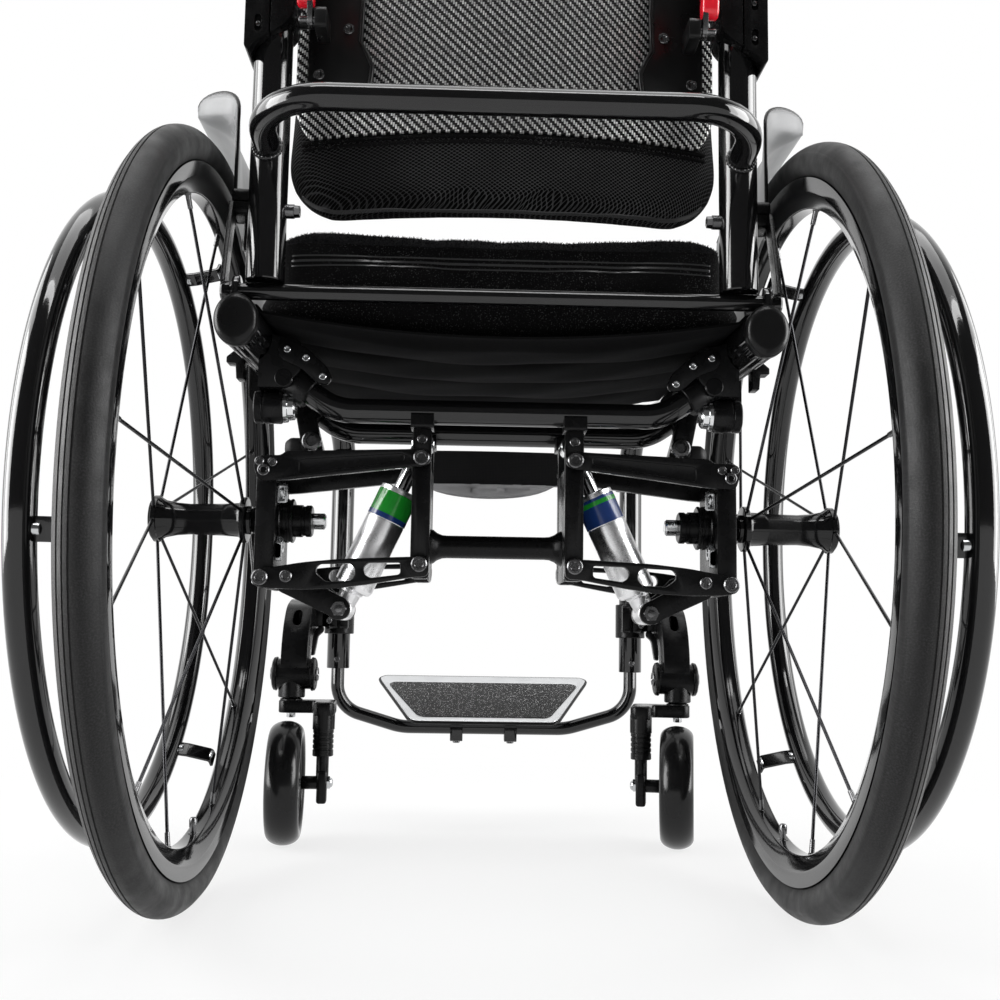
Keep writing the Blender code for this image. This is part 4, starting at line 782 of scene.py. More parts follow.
def rail_clamp(s):
    """Block under the rail that holds both cross tubes, with its bolts and the bump stop."""
    x = RAIL_X
    outline = eased([
        (x - 0.038, 0.404), (x - 0.025, 0.391), (x + 0.008, 0.391), (x + 0.0165, 0.4), (x + 0.0165, 0.44),
        (x + 0.013, 0.4445), (x - 0.016, 0.432), (x - 0.034, 0.4285), (x - 0.038, 0.425),
    ], 0.004)
    base = soften(slab(outline, -0.05, 0.06), 0.0012)
    bore = sweep(
        [(x, -0.1, rail_z(-0.1)), (x, 0.1, rail_z(0.1))],
        [(c * (RAIL_WIDE / 2 + GAP), d * (RAIL_HIGH / 2 + GAP)) for c, d in circle(1.0, 48)],
    )
    split = [block((x - 0.05, x + 0.03), (y - 0.0006, y + 0.0006), (0.385, 0.45)) for y in (-0.012, 0.022)]
    cut(base, bore, *split)
    cut(base, block((x - 0.006, x + 0.03), (-0.06, 0.038), (0.38, 0.47)))
    away = Vector((CROSS_END[0] - CROSS_BEND_X, CROSS_END[1] - CROSS_REAR[1])).normalized()
    parts = [base]
    for y, z in (CROSS_REAR, CROSS_FRONT):
        end = Vector((CROSS_END[0], CROSS_END[1] + z - CROSS_REAR[1]))
        low, high = end - away * 0.03, end - away * 0.004
        way = Vector((high.x - low.x, 0, high.y - low.y))
        r = CROSS_D / 2
        parts.append(stack((low.x, y, low.y), way, [
            (0, r + GAP), (0, r + 0.003), (0.0008, r + 0.004), (0.02, r + 0.004),
            (0.0208, r + 0.0034), (0.0216, r + 0.004), (way.length, r + 0.004),
        ], 40))
    hanger = eased([(x - 0.049, 0.3525), (x - 0.032, 0.3525), (x - 0.024, 0.392), (x - 0.038, 0.392)], 0.003)
    parts.append(soften(slab(hanger, 0.013, 0.031), 0.001))
    parts.append(stack((0.163, -0.0505, 0.3985), (0, 1, 0), [
        (0, 0.003), (0, 0.0062), (0.001, 0.0072), (0.01, 0.0072)], 32))
    lug = [(x + 0.008, 0.4005), (x + 0.0135, 0.4005), (x + 0.0145, 0.4125), (x + 0.0215, 0.413),
           (x + 0.0215, 0.4175), (x + 0.015, 0.423), (x + 0.008, 0.423)]
    parts.append(soften(slab(eased(lug, 0.0008), -0.034, -0.02), 0.0006))
    plate = [(x - dx, z) for dx, z in (
        (0.02, 0.424), (0.028, 0.4275), (0.042, 0.4215), (0.058, 0.4075), (0.0615, 0.3985), (0.058, 0.3935),
        (0.05, 0.395), (0.038, 0.406), (0.022, 0.413))]
    parts.append(soften(slab(eased(plate, 0.004), -0.0515, -0.046), 0.0009))
    knob = turned([(-0.006, 0.0035), (-0.006, 0.006), (-0.0035, 0.008), (-0.002, 0.0085), (0.004, 0.0085),
        (0.006, 0.0082), (0.009, 0.006), (0.01, 0.0045)], 32, (0.1605, 0.022, 0.356), "X")
    parts.append(turned([(-0.02, 0.006), (-0.02, 0.011), (-0.018, 0.0125), (-0.006, 0.0125),
        (-0.0055, 0.0119), (-0.0045, 0.0119), (-0.004, 0.0125), (0.001, 0.0125), (0.0018, 0.0118),
        (0.0018, 0.006)], 44, (x - 0.004, -0.034, 0.3785), "X"))
    put(s, parts, "clamp", SATIN, "frame", "rail_clamp", angle=38)
    ring = turned([
        (-0.029, 0.0035), (-0.029, 0.008), (-0.0278, 0.0094), (-0.0235, 0.0098), (-0.023, 0.0112),
        (-0.0205, 0.0116), (-0.0195, 0.0108), (-0.0195, 0.004),
    ], 40, (x - 0.004, -0.034, 0.3785), "X")
    put(s, ring, "clamp_ring", SILVER)
    put(s, knob, "bump_stop", ELASTOMER)
    bolts = [stack((0.148, 0.0135, 0.3602), (0, -1, 0), [
        (0, 0.0078), (0.0058, 0.0078), (0.0068, 0.0068), (0.0072, 0.0045), (0.006, 0.0042, 1),
        (0.0035, 0.0041, 1)], 24)]
    bolts += [screw((x - 0.027, y, 0.3925), (-0.1, 0, -1), 0.0036, 0.0034) for y in (-0.028, 0.006, 0.04)]
    put(s, bolts, "clamp_bolts", DARK)
    bright = [screw((x - dx, -0.051, z), (0.1, -1, 0), 0.0027, 0.003)
              for dx, z in ((0.0279, 0.4198), (0.0422, 0.4135), (0.0552, 0.3994))]
    put(s, bright, "clamp_screws", STEEL)


def cross_tubes():
    for name, (y, z) in (("rear", CROSS_REAR), ("front", CROSS_FRONT)):
        made = tube(cross_path(y, z), CROSS_D / 2, 40, (0, 1, 0))
        piece(made, f"cross_bar_{name}", BLACK, "frame", [f"cross_tube_{name}"], angle=40)


def suspension_carrier():
    """Two channels hung from the cross tubes, their saddles and bolts, and the tie between them."""
    a, b, d = Vector(PIVOT_A), Vector(PIVOT_B), CARRIER_DEEP
    tie_z = b.y + 0.0165
    tie = stack((-a.x + 0.006, 0, tie_z), (1, 0, 0), [
        (0, 0.0142), (0.003, 0.0132), (0.006, 0.0108), (0.01, 0.0092), (0.014, 0.0089),
        (0.06, 0.0089), (0.09, 0.0089), (0.094, 0.0092), (0.098, 0.0108), (0.101, 0.0132),
        (0.104, 0.0142),
    ], 40)
    parts, bolts = [tie], []
    for s in (-1, 1):
        side = []
        for y in ((-d, -d + 0.012), (d - 0.012, d)):
            wall = [(a.x - 0.007, b.y - 0.0105), (a.x + 0.0072, b.y - 0.0105), (a.x + 0.0072, 0.365),
                    (a.x - 0.007, 0.365)]
            wall = slab(eased(wall, 0.0035), *y)
            for pivot in (a, b):
                hole = [(pivot.x, there, pivot.y) for there in (y[0] - 0.01, y[1] + 0.01)]
                cut(wall, rod(*hole, PIN_D / 2 + 0.0006, 24))
            side.append(soften(wall, 0.0009))
        web = block((a.x - 0.0067, a.x - 0.005), (-d + 0.006, d - 0.006), (b.y - 0.01, 0.336))
        side.append(soften(web, 0.0004))
        for y, z in (CROSS_REAR, CROSS_FRONT):
            saddle = [(-0.012, -0.0135), (0.012, -0.0135), (0.0112, -0.002), (-0.0112, -0.002)]
            shape = slab(eased([(y + t, z + h) for t, h in saddle], 0.0025), a.x - 0.0085, a.x + 0.0088, "X")
            cut(shape, rod((0.02, y, z), (0.1, y, z), CROSS_D / 2 + GAP, 48))
            side.append(soften(shape, 0.0008))
        top = Vector(SHOCK_TOP)
        side.append(rod((top.x, -d + 0.006, top.y), (top.x, d - 0.006, top.y), PIN_D / 2, 24))
        parts += [sided(part, s) for part in side]
        for y, way in ((-d + 0.0002, -1), (d - 0.0002, 1)):
            bolts.append(sided(screw((a.x, y, 0.3555), (0, way, 0), 0.0038, 0.0026), s))
    piece(join(*parts), "carrier", SATIN, "frame", ["suspension_carrier"], angle=38)
    piece(join(*bolts), "carrier_bolts", DARK, "frame")


# Suspension

def both_ways(pivot, outer, head):
    """A screw head at each end of a pivot line."""
    return [screw((pivot[0], way * outer, pivot[1]), (0, way, 0), head, 0.0032) for way in (-1, 1)]


def upper_arm(s):
    a = Vector(PIVOT_A)
    c = a + Vector(ARM_REACH)
    near, far = ARM_NEAR, ARM_FAR
    body = "upper_arm"
    bar = eased([
        (a.x - 0.0055, a.y - 0.0045), (a.x - 0.0072, a.y), (a.x - 0.0055, a.y + 0.005), (a.x, a.y + 0.007),
        (a.x + 0.01, a.y + 0.0062), (c.x - 0.016, c.y + 0.0148), (c.x - 0.012, c.y + 0.0115),
        (c.x + 0.0035, c.y + 0.0115), (c.x + 0.0085, c.y + 0.0045), (c.x + 0.004, c.y - 0.0085),
        (c.x - 0.015, c.y - 0.007), (a.x + 0.007, a.y - 0.007), (a.x, a.y - 0.0072),
    ], 0.004)
    pocket = eased([
        (a.x + 0.013, a.y - 0.003), (a.x + 0.013, a.y + 0.003), (c.x - 0.026, c.y + 0.0085),
        (c.x - 0.026, c.y - 0.003),
    ], 0.003)
    parts = []
    for low, high, face in ((-far, -near, -far), (near, far, far)):
        plate = slab(bar, low, high)
        cut(plate, slab(pocket, face - 0.0012, face + 0.0012))
        parts.append(soften(plate, 0.0008))
    parts.append(rod((c.x, -far - 0.002, c.y), (c.x, far + 0.002, c.y), PIN_D / 2, 24))
    for way in (-1, 1):
        parts.append(rod((a.x, way * (CARRIER_DEEP - 0.013), a.y), (a.x, way * far, a.y), PIN_D / 2, 24))
    put(s, parts, "top_arm", SATIN, body, "upper_arm", angle=36)
    heads = both_ways(a, far, 0.006) + both_ways(c, far, 0.0045)
    for x, z in ((c.x + 0.0036, c.y + 0.0068), (c.x - 0.0062, c.y + 0.0062)):
        heads.append(screw((x, -far + 0.0004, z), (0, -1, 0), 0.0034, 0.0016))
    put(s, heads, "top_arm_bolts", DARK, body)


def lower_arm(s):
    b, e = Vector(PIVOT_B), Vector(SHOCK_LOW)
    d = b + Vector(ARM_REACH)
    near, far = ARM_NEAR, ARM_FAR
    body, spacer = "lower_arm", (0.1562, 0.2496)
    plate = eased([
        (b.x - 0.007, b.y - 0.0095), (b.x - 0.0072, b.y + 0.0055), (b.x + 0.005, b.y + 0.0055),
        (0.1166, 0.2633), (0.1445, 0.2603), (d.x - 0.005, d.y + 0.0072), (d.x + 0.0045, d.y + 0.0062),
        (d.x + 0.0075, d.y), (d.x + 0.0045, d.y - 0.0062), (d.x - 0.0057, d.y - 0.0079), (0.1463, 0.2399),
        (0.1222, 0.2409), (0.0956, 0.2445), (b.x + 0.0046, b.y - 0.0098),
    ], 0.006)
    slots = [
        [(0.1345, 0.256), (0.132, 0.2592), (0.1095, 0.26), (0.1055, 0.2565), (0.1055, 0.251),
         (0.1085, 0.2472), (0.127, 0.2462), (0.1345, 0.252)],
        [(0.0995, 0.257), (0.096, 0.2606), (0.073, 0.2612), (0.072, 0.26), (0.072, 0.2535),
         (0.0735, 0.2522), (0.094, 0.2494), (0.0985, 0.252)],
    ]
    parts = []
    for low, high in ((-far, -near), (near, far)):
        side = slab(plate, low, high)
        for slot in slots:
            cut(side, slab(eased(slot, 0.002), low - 0.01, high + 0.01))
        parts.append(soften(side, 0.0009))
    wing = eased([
        (0.1655, 0.256), (0.1655, 0.2395), (e.x + 0.009, e.y - 0.0045), (e.x + 0.005, e.y - 0.0078),
        (e.x - 0.001, e.y - 0.009), (e.x - 0.007, e.y - 0.0062), (e.x - 0.0088, e.y),
        (e.x - 0.0065, e.y + 0.0065), (0.129, 0.242), (0.142, 0.256),
    ], 0.003)
    for y in ((-0.0245, -0.0182), (0.0182, 0.0245)):
        parts.append(soften(slab(wing, *y), 0.0008))
    for (x, z), radius, sides in ((spacer, 0.005, 28), (d, PIN_D / 2, 24)):
        parts.append(rod((x, -far - 0.001, z), (x, far + 0.001, z), radius, sides))
    for way in (-1, 1):
        parts.append(rod((b.x, way * (CARRIER_DEEP - 0.013), b.y), (b.x, way * far, b.y), PIN_D / 2, 24))
    put(s, parts, "bottom_arm", SATIN, body, "lower_arm", angle=36)
    heads = both_ways(b, far, 0.006) + both_ways(d, far, 0.006) + both_ways(spacer, far, 0.0046)
    heads.append(rod((e.x, -0.0272, e.y), (e.x, 0.0272, e.y), PIN_D / 2, 28, 0.0006))
    heads.append(nut((e.x, -0.0244, e.y), (0, -1, 0), 0.0062, 0.003))
    heads.append(screw((e.x, 0.0244, e.y), (0, 1, 0), 0.0062, 0.003))
    put(s, heads, "bottom_arm_bolts", DARK, body)


def upright(s):
    c, d = Vector(PIVOT_A) + Vector(ARM_REACH), Vector(PIVOT_B) + Vector(ARM_REACH)
    body = "upright"
    post = slab(capsule((c.x, c.y), (d.x, d.y), UPRIGHT_WIDE / 2, 20), -UPRIGHT_DEEP, UPRIGHT_DEEP)
    post = soften(post, 0.0009)
    hub_x = TRACK - HUB_IN
    ribs = [(hub_x - GAP, 0.0072), (hub_x - GAP, 0.0095), (hub_x - 0.0045, 0.012), (c.x + 0.0076, 0.015)]
    ribs += [(0.168, 0.0172), (0.1672, 0.0165), (0.1655, 0.0165), (0.165, 0.0172), (0.1625, 0.0172),
             (0.162, 0.0165), (0.1605, 0.0165), (0.16, 0.0172), (0.1588, 0.0172), (0.158, 0.016),
             (0.158, 0.0126), (0.1515, 0.0126), (0.151, 0.0116), (0.149, 0.0116), (0.1485, 0.0124),
             (0.1448, 0.0124), (0.1438, 0.0112), (0.1437, 0.0075)]
    sleeve = turned(ribs, 48, (0, 0, WHEEL_R), "X")
    put(s, [post, sleeve], "axle_post", SATIN, body, "upright", angle=32)
    plates = []
    for x0, x1, z0, z1 in ((0.16, 0.168, 0.306, 0.3205), (0.163, 0.168, 0.262, 0.277)):
        plate = slab(eased([(x0, z0), (x1, z0), (x1, z1), (x0, z1)], 0.0015), -0.03, -0.027)
        hole = capsule(((x0 + x1) / 2, z0 + 0.004), ((x0 + x1) / 2, z1 - 0.004), 0.0016)
        cut(plate, slab(hole, -0.04, -0.02))
        plates.append(soften(plate, 0.0005))
    for z in (0.3145, 0.2745):
        plates.append(nut((0.1682, -0.018, z), (-1, 0, 0), 0.0068, 0.0046))
    put(s, plates, "adjusters", STEEL, body)


def axle(s):
    """Quick-release axle with its hexagon inner end and its button."""
    start, hub_end, r = 0.133, TRACK + HUB_OUT, AXLE_D / 2
    pin = stack((start, 0, WHEEL_R), (1, 0, 0), [
        (0, 0.004), (0.0004, 0.0052), (0.0015, r), (0.0118, r, 1), (0.0118, r),
        (hub_end - 0.005 - start, r), (hub_end - 0.005 - start, 0.005), (hub_end - 0.0095 - start, 0.005),
    ], 36)
    head = turned([
        (-0.0002, 0.0049), (-0.0002, 0.0098), (0.0006, 0.0105), (0.0038, 0.0105), (0.0045, 0.0098),
        (0.0045, 0.0058), (0.004, 0.0049),
    ], 36, (hub_end - 0.005, 0, WHEEL_R), "X", True)
    put(s, [pin, head], "axle_pin", SILVER, "upright", "axle", angle=30)
    button = stack((hub_end - 0.0045, 0, WHEEL_R), (1, 0, 0), [
        (0, 0.004), (0.0003, 0.0045), (0.006, 0.0045), (0.0068, 0.004), (0.007, 0.003),
        (0.0066, 0.0012)], 28)
    put(s, button, "push_button", DARK, "axle_button", "axle_button")


def shock(s):
    """Damper between the lower arm and the carrier, its rod running out of its tube."""
    e, top = Vector(SHOCK_LOW), Vector(SHOCK_TOP)
    lean, length = (top - e).normalized(), (top - e).length
    way = Vector((lean.x, 0, lean.y))
    foot = Vector((e.x, 0, e.y))
    r = SHOCK_D / 2
    body = "shock_body"
    tube_rings = [
        (0.0165, 0.0085), (0.0165, 0.012), (0.0175, 0.0138), (0.0195, r - 0.0006), (0.0205, r), (0.03, r),
        (0.0305, r - 0.0004), (0.0315, r - 0.0004), (0.032, r), (0.076, r), (0.0764, r - 0.0003),
        (0.0768, r - 0.0003), (0.0772, r), (0.099, r), (0.0994, r - 0.0004), (0.1, r - 0.0004),
        (0.1004, r), (0.1024, r), (0.1032, r - 0.001), (0.1035, r - 0.003), (0.1035, 0.008), (0.098, 0.0072),
    ]
    shell = stack(foot, way, tube_rings, 56)
    neck = stack(foot, way, [(0.003, 0.0075), (0.014, 0.0085), (0.015, 0.0098), (0.0172, 0.0098)], 36)
    eye = stack((e.x, -0.0176, e.y), (0, 1, 0), [
        (0, 0.0045), (0, 0.0078), (0.0007, 0.0085), (0.0345, 0.0085), (0.0352, 0.0078),
        (0.0352, 0.0045)], 36)
    put(s, [shell, neck, eye], "damper", DRAWN, body, "shock_body", angle=30)
    bands = ((0.0772, 0.099, GREEN if s < 0 else BLUE, "band"),)
    bands += ((0.0772, 0.0812, BLUE, "stripe"),) if s < 0 else ((0.093, 0.0965, GREEN, "stripe"),)
    for k, (low, high, look, name) in enumerate(bands):
        proud = r + 0.0002 + 0.00015 * k
        ring = stack(foot, way, [(low, r - 0.0004), (low, proud), (high, proud), (high, r - 0.0004)], 56)
        put(s, ring, name, look, body, angle=50)
    stem = stack(foot, way, [(0.093, 0.0058), (0.0935, ROD_D / 2), (length - 0.011, ROD_D / 2),
                             (length - 0.01, ROD_D / 2 + 0.0014), (length - 0.003, ROD_D / 2 + 0.0014)], 40)
    eye = stack((top.x, -0.0115, top.y), (0, 1, 0), [
        (0, 0.0053), (0, 0.0081), (0.0007, 0.0088), (0.0223, 0.0088), (0.023, 0.0081),
        (0.023, 0.0053)], 36)
    put(s, [stem, eye], "damper_rod", SILVER, "shock_rod", "shock_rod", angle=30)


# Wheels

def spread(centre, t, r, x=0.0):
    """A point at this angle from the top, forwards, and this far out from a wheel's axis."""
    return Vector(centre) + Vector((x, r * math.sin(t), r * math.cos(t)))


def rear_wheel(s):
    centre = (TRACK, 0, WHEEL_R)
    body = "wheel"
    w, r = TYRE_WIDE / 2, WHEEL_R
    seat = RIM_R + GAP
    left = [(-w * 0.72, seat), (-w * 0.8, seat + 0.0012), (-w * 0.93, seat + 0.005),
            (-w * 0.995, seat + 0.009), (-w, seat + 0.011), (-w * 0.985, seat + 0.014),
            (-w * 0.95, seat + 0.0165), (-w * 0.9, r - 0.0076)]

    def crown(x):
        return r - 0.0066 * (abs(x) / (w * 0.86)) ** 2.3

    tread = []
    marks = [0.0018, 0.0056, 0.0092]
    edges = [m + o for m in marks for o in (-7e-4, -3e-4, 3e-4, 7e-4)]
    edges = sorted([*np.linspace(-w * 0.86, w * 0.86, 13), *edges])
    for x in edges:
        near = min(abs(x - m) for m in marks)
        if near < 6.9e-4:
            tread.append((x, crown(x) - (0.0009 if near < 3.5e-4 else 0.0)))
        elif near > 9e-4 or near < 7.1e-4:
            tread.append((x, crown(x)))
    tread = [(x, q if abs(x) > 1e-5 else r) for x, q in tread]
    profile = left + tread + [(-x, q) for x, q in reversed(left)]
    tyre = turned(profile, 216, centre, "X", True)
    put(s, tyre, "tire", TREAD[s], body, "tyre", angle=50)

    h, deep = RIM_WIDE / 2, RIM_R - RIM_DEEP
    half = [(-h, RIM_R), (-h, RIM_R - 0.01), (-h * 0.97, RIM_R - 0.0112), (-h * 0.6, deep + 0.0012),
            (-h * 0.52, deep + 0.0003), (-h * 0.42, deep)]
    rim = turned(mirrored(half), 216, centre, "X", True)
    hub = turned([
        (-HUB_IN, 0.0066), (-HUB_IN, 0.0105), (-0.042, 0.011), (-0.0395, 0.0112), (-0.0392, 0.0172),
        (-0.0386, 0.018), (-0.0351, 0.018), (-0.0345, 0.0172), (-0.034, 0.0145), (-0.032, 0.0134),
        (-0.02, 0.0126), (0.005, 0.012), (0.015, 0.0128), (0.024, 0.0145), (0.0286, 0.0172),
        (0.029, 0.0182), (0.0326, 0.0182), (0.033, 0.0174), (0.0334, 0.016), (0.0344, 0.0158),
        (HUB_OUT, 0.015), (HUB_OUT, 0.0122), (0.0344, 0.0116), (0.03, 0.0114), (0.0296, 0.0066),
    ], 56, centre, "X", True)
    spokes, nipples = [], []
    for k in range(12):
        outer = k % 2 == 0
        t = math.radians(30 * k + 9)
        lean = math.radians(14 if k % 4 < 2 else -14)
        start = spread(centre, t + lean, 0.015, 0.031 if outer else -0.0365)
        side = 0.002 if outer else -0.002
        end = spread(centre, t, deep + 0.002, side)
        way = (end - start).normalized()
        spokes.append(rod(start - way * 0.001, end, 0.00125, 12))
        nipples.append(stack(end - way * 0.0135, way, [
            (0, 0.0013), (0.0002, 0.0018), (0.01, 0.002), (0.0102, 0.0026, 1), (0.015, 0.0026, 1)], 12))
        nipples.append(stack(start - way * 0.0022, way, [
            (0, 0.001), (0.0006, 0.0021), (0.0022, 0.0022), (0.003, 0.0013)], 12))
    t = math.radians(172.5)
    valve = stack(spread(centre, t, deep + 0.001), Vector(centre) - spread(centre, t, 1), [
        (0, 0.004), (0.0012, 0.004), (0.0014, 0.0024), (0.006, 0.0024), (0.0062, 0.0032),
        (0.012, 0.0031), (0.0135, 0.0022), (0.0138, 0.001)], 20)
    put(s, [rim, hub], "rim", RIM, body, "wheel", angle=32)
    put(s, spokes, "spokes", SPOKE, body, angle=50)
    put(s, [valve, *nipples], "nipples", DARK, body, slot="gloss_black", angle=40)


def handrim(s):
    """The handrim and the six straps that hold it to the rim."""
    body = "wheel"
    h, deep = RIM_WIDE / 2, RIM_R - RIM_DEEP
    rim_x = TRACK + HANDRIM_OUT
    round_bar = [(a, HANDRIM_R + b) for a, b in circle(HANDRIM_D / 2, 28)]
    ring = turned(round_bar, 216, (rim_x, 0, WHEEL_R), "X", True)
    straps, spacers = [], []
    for k in range(6):
        t = math.radians(60 * k + 23)
        out = Vector((0, math.sin(t), math.cos(t)))
        side = Vector((0, math.cos(t), -math.sin(t)))
        foot_x = TRACK + h * 0.8 + 0.0016
        bends = [(rim_x - 0.004, HANDRIM_R), (rim_x - 0.016, HANDRIM_R + 0.002),
            (foot_x + 0.002, deep - 0.001), (foot_x + 0.0005, deep + 0.005)]
        path = arc_path([Vector((x, 0, WHEEL_R)) + out * q for x, q in bends], [0.004, 0.003], 6)
        wide = [(-0.0075, -0.0012), (0.0075, -0.0012), (0.0075, 0.0012), (-0.0075, 0.0012)]
        straps.append(soften(sweep(path, eased(wide, 0.0005), side), 0.0003, 1))
        at = Vector((foot_x + 0.0012, 0, WHEEL_R)) + out * (deep - 0.0005)
        spacers.append(screw(at, (0.85, *(out * -0.5).yz), 0.004, 0.0024))
        tip = Vector((rim_x - 0.0125, 0, WHEEL_R)) + out * (HANDRIM_R + 0.0012)
        spacers.append(stack(tip, (1, 0, 0), [(0, 0.0036), (0.001, 0.004), (0.004, 0.004)], 20))
    put(s, [ring, *straps], "push_ring", BLACK, body, "handrim", angle=40)
    put(s, spacers, "push_ring_bolts", STEEL, body)


def swivelled(base, s):
    """The shape turned about the caster's stem, as far as that side's caster stands turned."""
    return turn_about(base, s * CASTER_YAW[s], (CASTER_X, CASTER_Y, 0))


def caster_bracket(s):
    """Curved arm with its clamp ring on the leg and the housing of the caster's stem."""
    arm = eased([(CASTER_Y - 0.015, 0.165), (CASTER_Y - 0.0145, 0.19), (CASTER_Y - 0.004, 0.216),
        (CASTER_Y + 0.016, 0.236), (LEG_Y - 0.032, 0.244), (LEG_Y + 0.004, 0.244), (LEG_Y + 0.004, 0.212),
        (LEG_Y - 0.03, 0.212), (CASTER_Y + 0.028, 0.204), (CASTER_Y + 0.019, 0.19),
        (CASTER_Y + 0.015, 0.165)], 0.012, True, 5)
    base = slab(arm, CASTER_X - 0.0165, CASTER_X + 0.0105, "X")
    slot = capsule((CASTER_X - 0.003, 0.2195), (CASTER_X - 0.003, 0.227), 0.0045)
    cut(base, slab(slot, CASTER_Y - 0.03, CASTER_Y + 0.045))
    base = soften(base, 0.0022, 3, 40)
    cut(base, rod((CASTER_X, CASTER_Y, 0.12), (CASTER_X, CASTER_Y, 0.1745), 0.0064))
    ring = stack((LEG_X, LEG_Y, 0.207), (0, 0, 1), [
        (0, LEG_D / 2 + 0.0008), (0, LEG_D / 2 + 0.0032), (0.0008, LEG_D / 2 + 0.0038),
        (0.0362, LEG_D / 2 + 0.0038), (0.037, LEG_D / 2 + 0.0032), (0.037, LEG_D / 2 + 0.0008)], 44)
    cut(ring, rod((LEG_X, LEG_Y, 0.19), (LEG_X, LEG_Y, 0.26), LEG_D / 2 + 0.0008, 48))
    link = soften(block((LEG_X + 0.0155, CASTER_X - 0.012), (LEG_Y - 0.026, LEG_Y - 0.002), (0.214, 0.24)),
        0.0015)
    ears = [soften(slab(capsule((LEG_Y - 0.021, 0.218), (LEG_Y - 0.021, 0.237), 0.0055, 8), LEG_X - 0.012 + o,
                        LEG_X - 0.003 + o, "X"), 0.0008) for o in (0.0, 0.0115)]
    housing_x = CASTER_X - 0.0025
    ribs = [(-0.0222, 0.009), (-0.0222, 0.0148), (-0.021, 0.0168), (-0.019, 0.0174), (-0.018, 0.0174),
            (-0.0175, 0.0168), (-0.0172, 0.0156)]
    housing = turned(mirrored(ribs), 44, (housing_x, CASTER_Y, 0.165), "X")
    boss = stack((CASTER_X, CASTER_Y, 0.141), (0, 0, 1), [
        (0, 0.0068), (0, 0.0128), (0.001, 0.0138), (0.024, 0.0138)], 44)
    foot_x, side_x = LEG_X + 0.0145, CASTER_X - 0.015
    web = [(foot_x, 0.2145), (foot_x, 0.2085), (foot_x + 0.0055, 0.204), (side_x - 0.002, 0.195),
        (side_x, 0.183), (side_x + 0.004, 0.183), (side_x + 0.004, 0.2), (foot_x + 0.01, 0.2085),
        (foot_x + 0.005, 0.2145)]
    web = soften(slab(eased(web, 0.006), LEG_Y - 0.03, LEG_Y - 0.018), 0.0008)
    put(s, [base, ring, link, housing, boss, web, *ears], "bracket", SATIN, "frame", "caster_bracket",
        angle=36)
    bolts = [
        screw((LEG_X + 0.0085, LEG_Y - 0.0265, 0.233), (0, -1, 0), 0.0032, 0.0024),
        screw((LEG_X + 0.0085, LEG_Y - 0.0265, 0.221), (0, -1, 0), 0.0032, 0.0024),
        screw((housing_x + 0.0215, CASTER_Y, 0.165), (1, 0, 0), 0.0075, 0.003),
        screw((housing_x - 0.0215, CASTER_Y, 0.165), (-1, 0, 0), 0.0075, 0.003),
    ]
    put(s, bolts, "bracket_bolts", DARK)


def caster_fork(s):
    leg, x = (CASTER_X - FORK_LEG, CASTER_Y - TRAIL), CASTER_X
    crown = eased([(x + 0.0125, CASTER_Y - 0.006), (x + 0.0125, CASTER_Y + 0.007),
        (x + 0.007, CASTER_Y + 0.012), (leg[0] - 0.005, CASTER_Y + 0.012),
        (leg[0] - 0.0105, CASTER_Y + 0.006), (leg[0] - 0.0105, leg[1] - 0.006),
        (leg[0] - 0.006, leg[1] - 0.0105), (leg[0] + 0.006, leg[1] - 0.0105),
        (leg[0] + 0.0105, leg[1] - 0.006), (leg[0] + 0.0105, CASTER_Y - 0.0105),
        (x + 0.0075, CASTER_Y - 0.0105)], 0.006)
    base = soften(slab(crown, 0.1255, 0.1385, "Z"), 0.0016, 3)
    rings = [(0.086, 0.0064), (0.086, 0.0096), (0.0866, 0.0103)]
    for z in np.linspace(0.093, 0.108, 4):
        rings += [(z - 0.001, 0.0103), (z - 0.0005, 0.0096), (z + 0.0005, 0.0096), (z + 0.001, 0.0103)]
    rings += [(0.1118, 0.0103), (0.1125, 0.011), (0.13, 0.011)]
    guide = turned(rings, 40, (*leg, 0), "Z")
    guide_top = stack((*leg, 0.1375), (0, 0, 1), [(0, 0.0088), (0.001, 0.0088), (0.0016, 0.008),
                                                 (0.0016, 0.004)], 36)
    collar = stack((CASTER_X, CASTER_Y, 0.138), (0, 0, 1), [(0, 0.0115), (0.0016, 0.0115), (0.0022, 0.01),
                                                             (0.003, 0.0085)], 36)
    post = rod((CASTER_X, CASTER_Y, 0.13), (CASTER_X, CASTER_Y, 0.1735), 0.006, 32)
    name = "caster_fork"
    fork = join(base, guide_top, collar, post)
    put(s, swivelled(fork, s), "fork", SATIN, name, name, angle=36)
    put(s, swivelled(guide, s), "guide_sleeve", CAP, name, slot="satin_black", angle=30)
    foot = nut((CASTER_X, CASTER_Y, 0.1262), (0, 0, -1), 0.0046, 0.0056)
    put(s, foot, "stem_nut", STEEL, name)


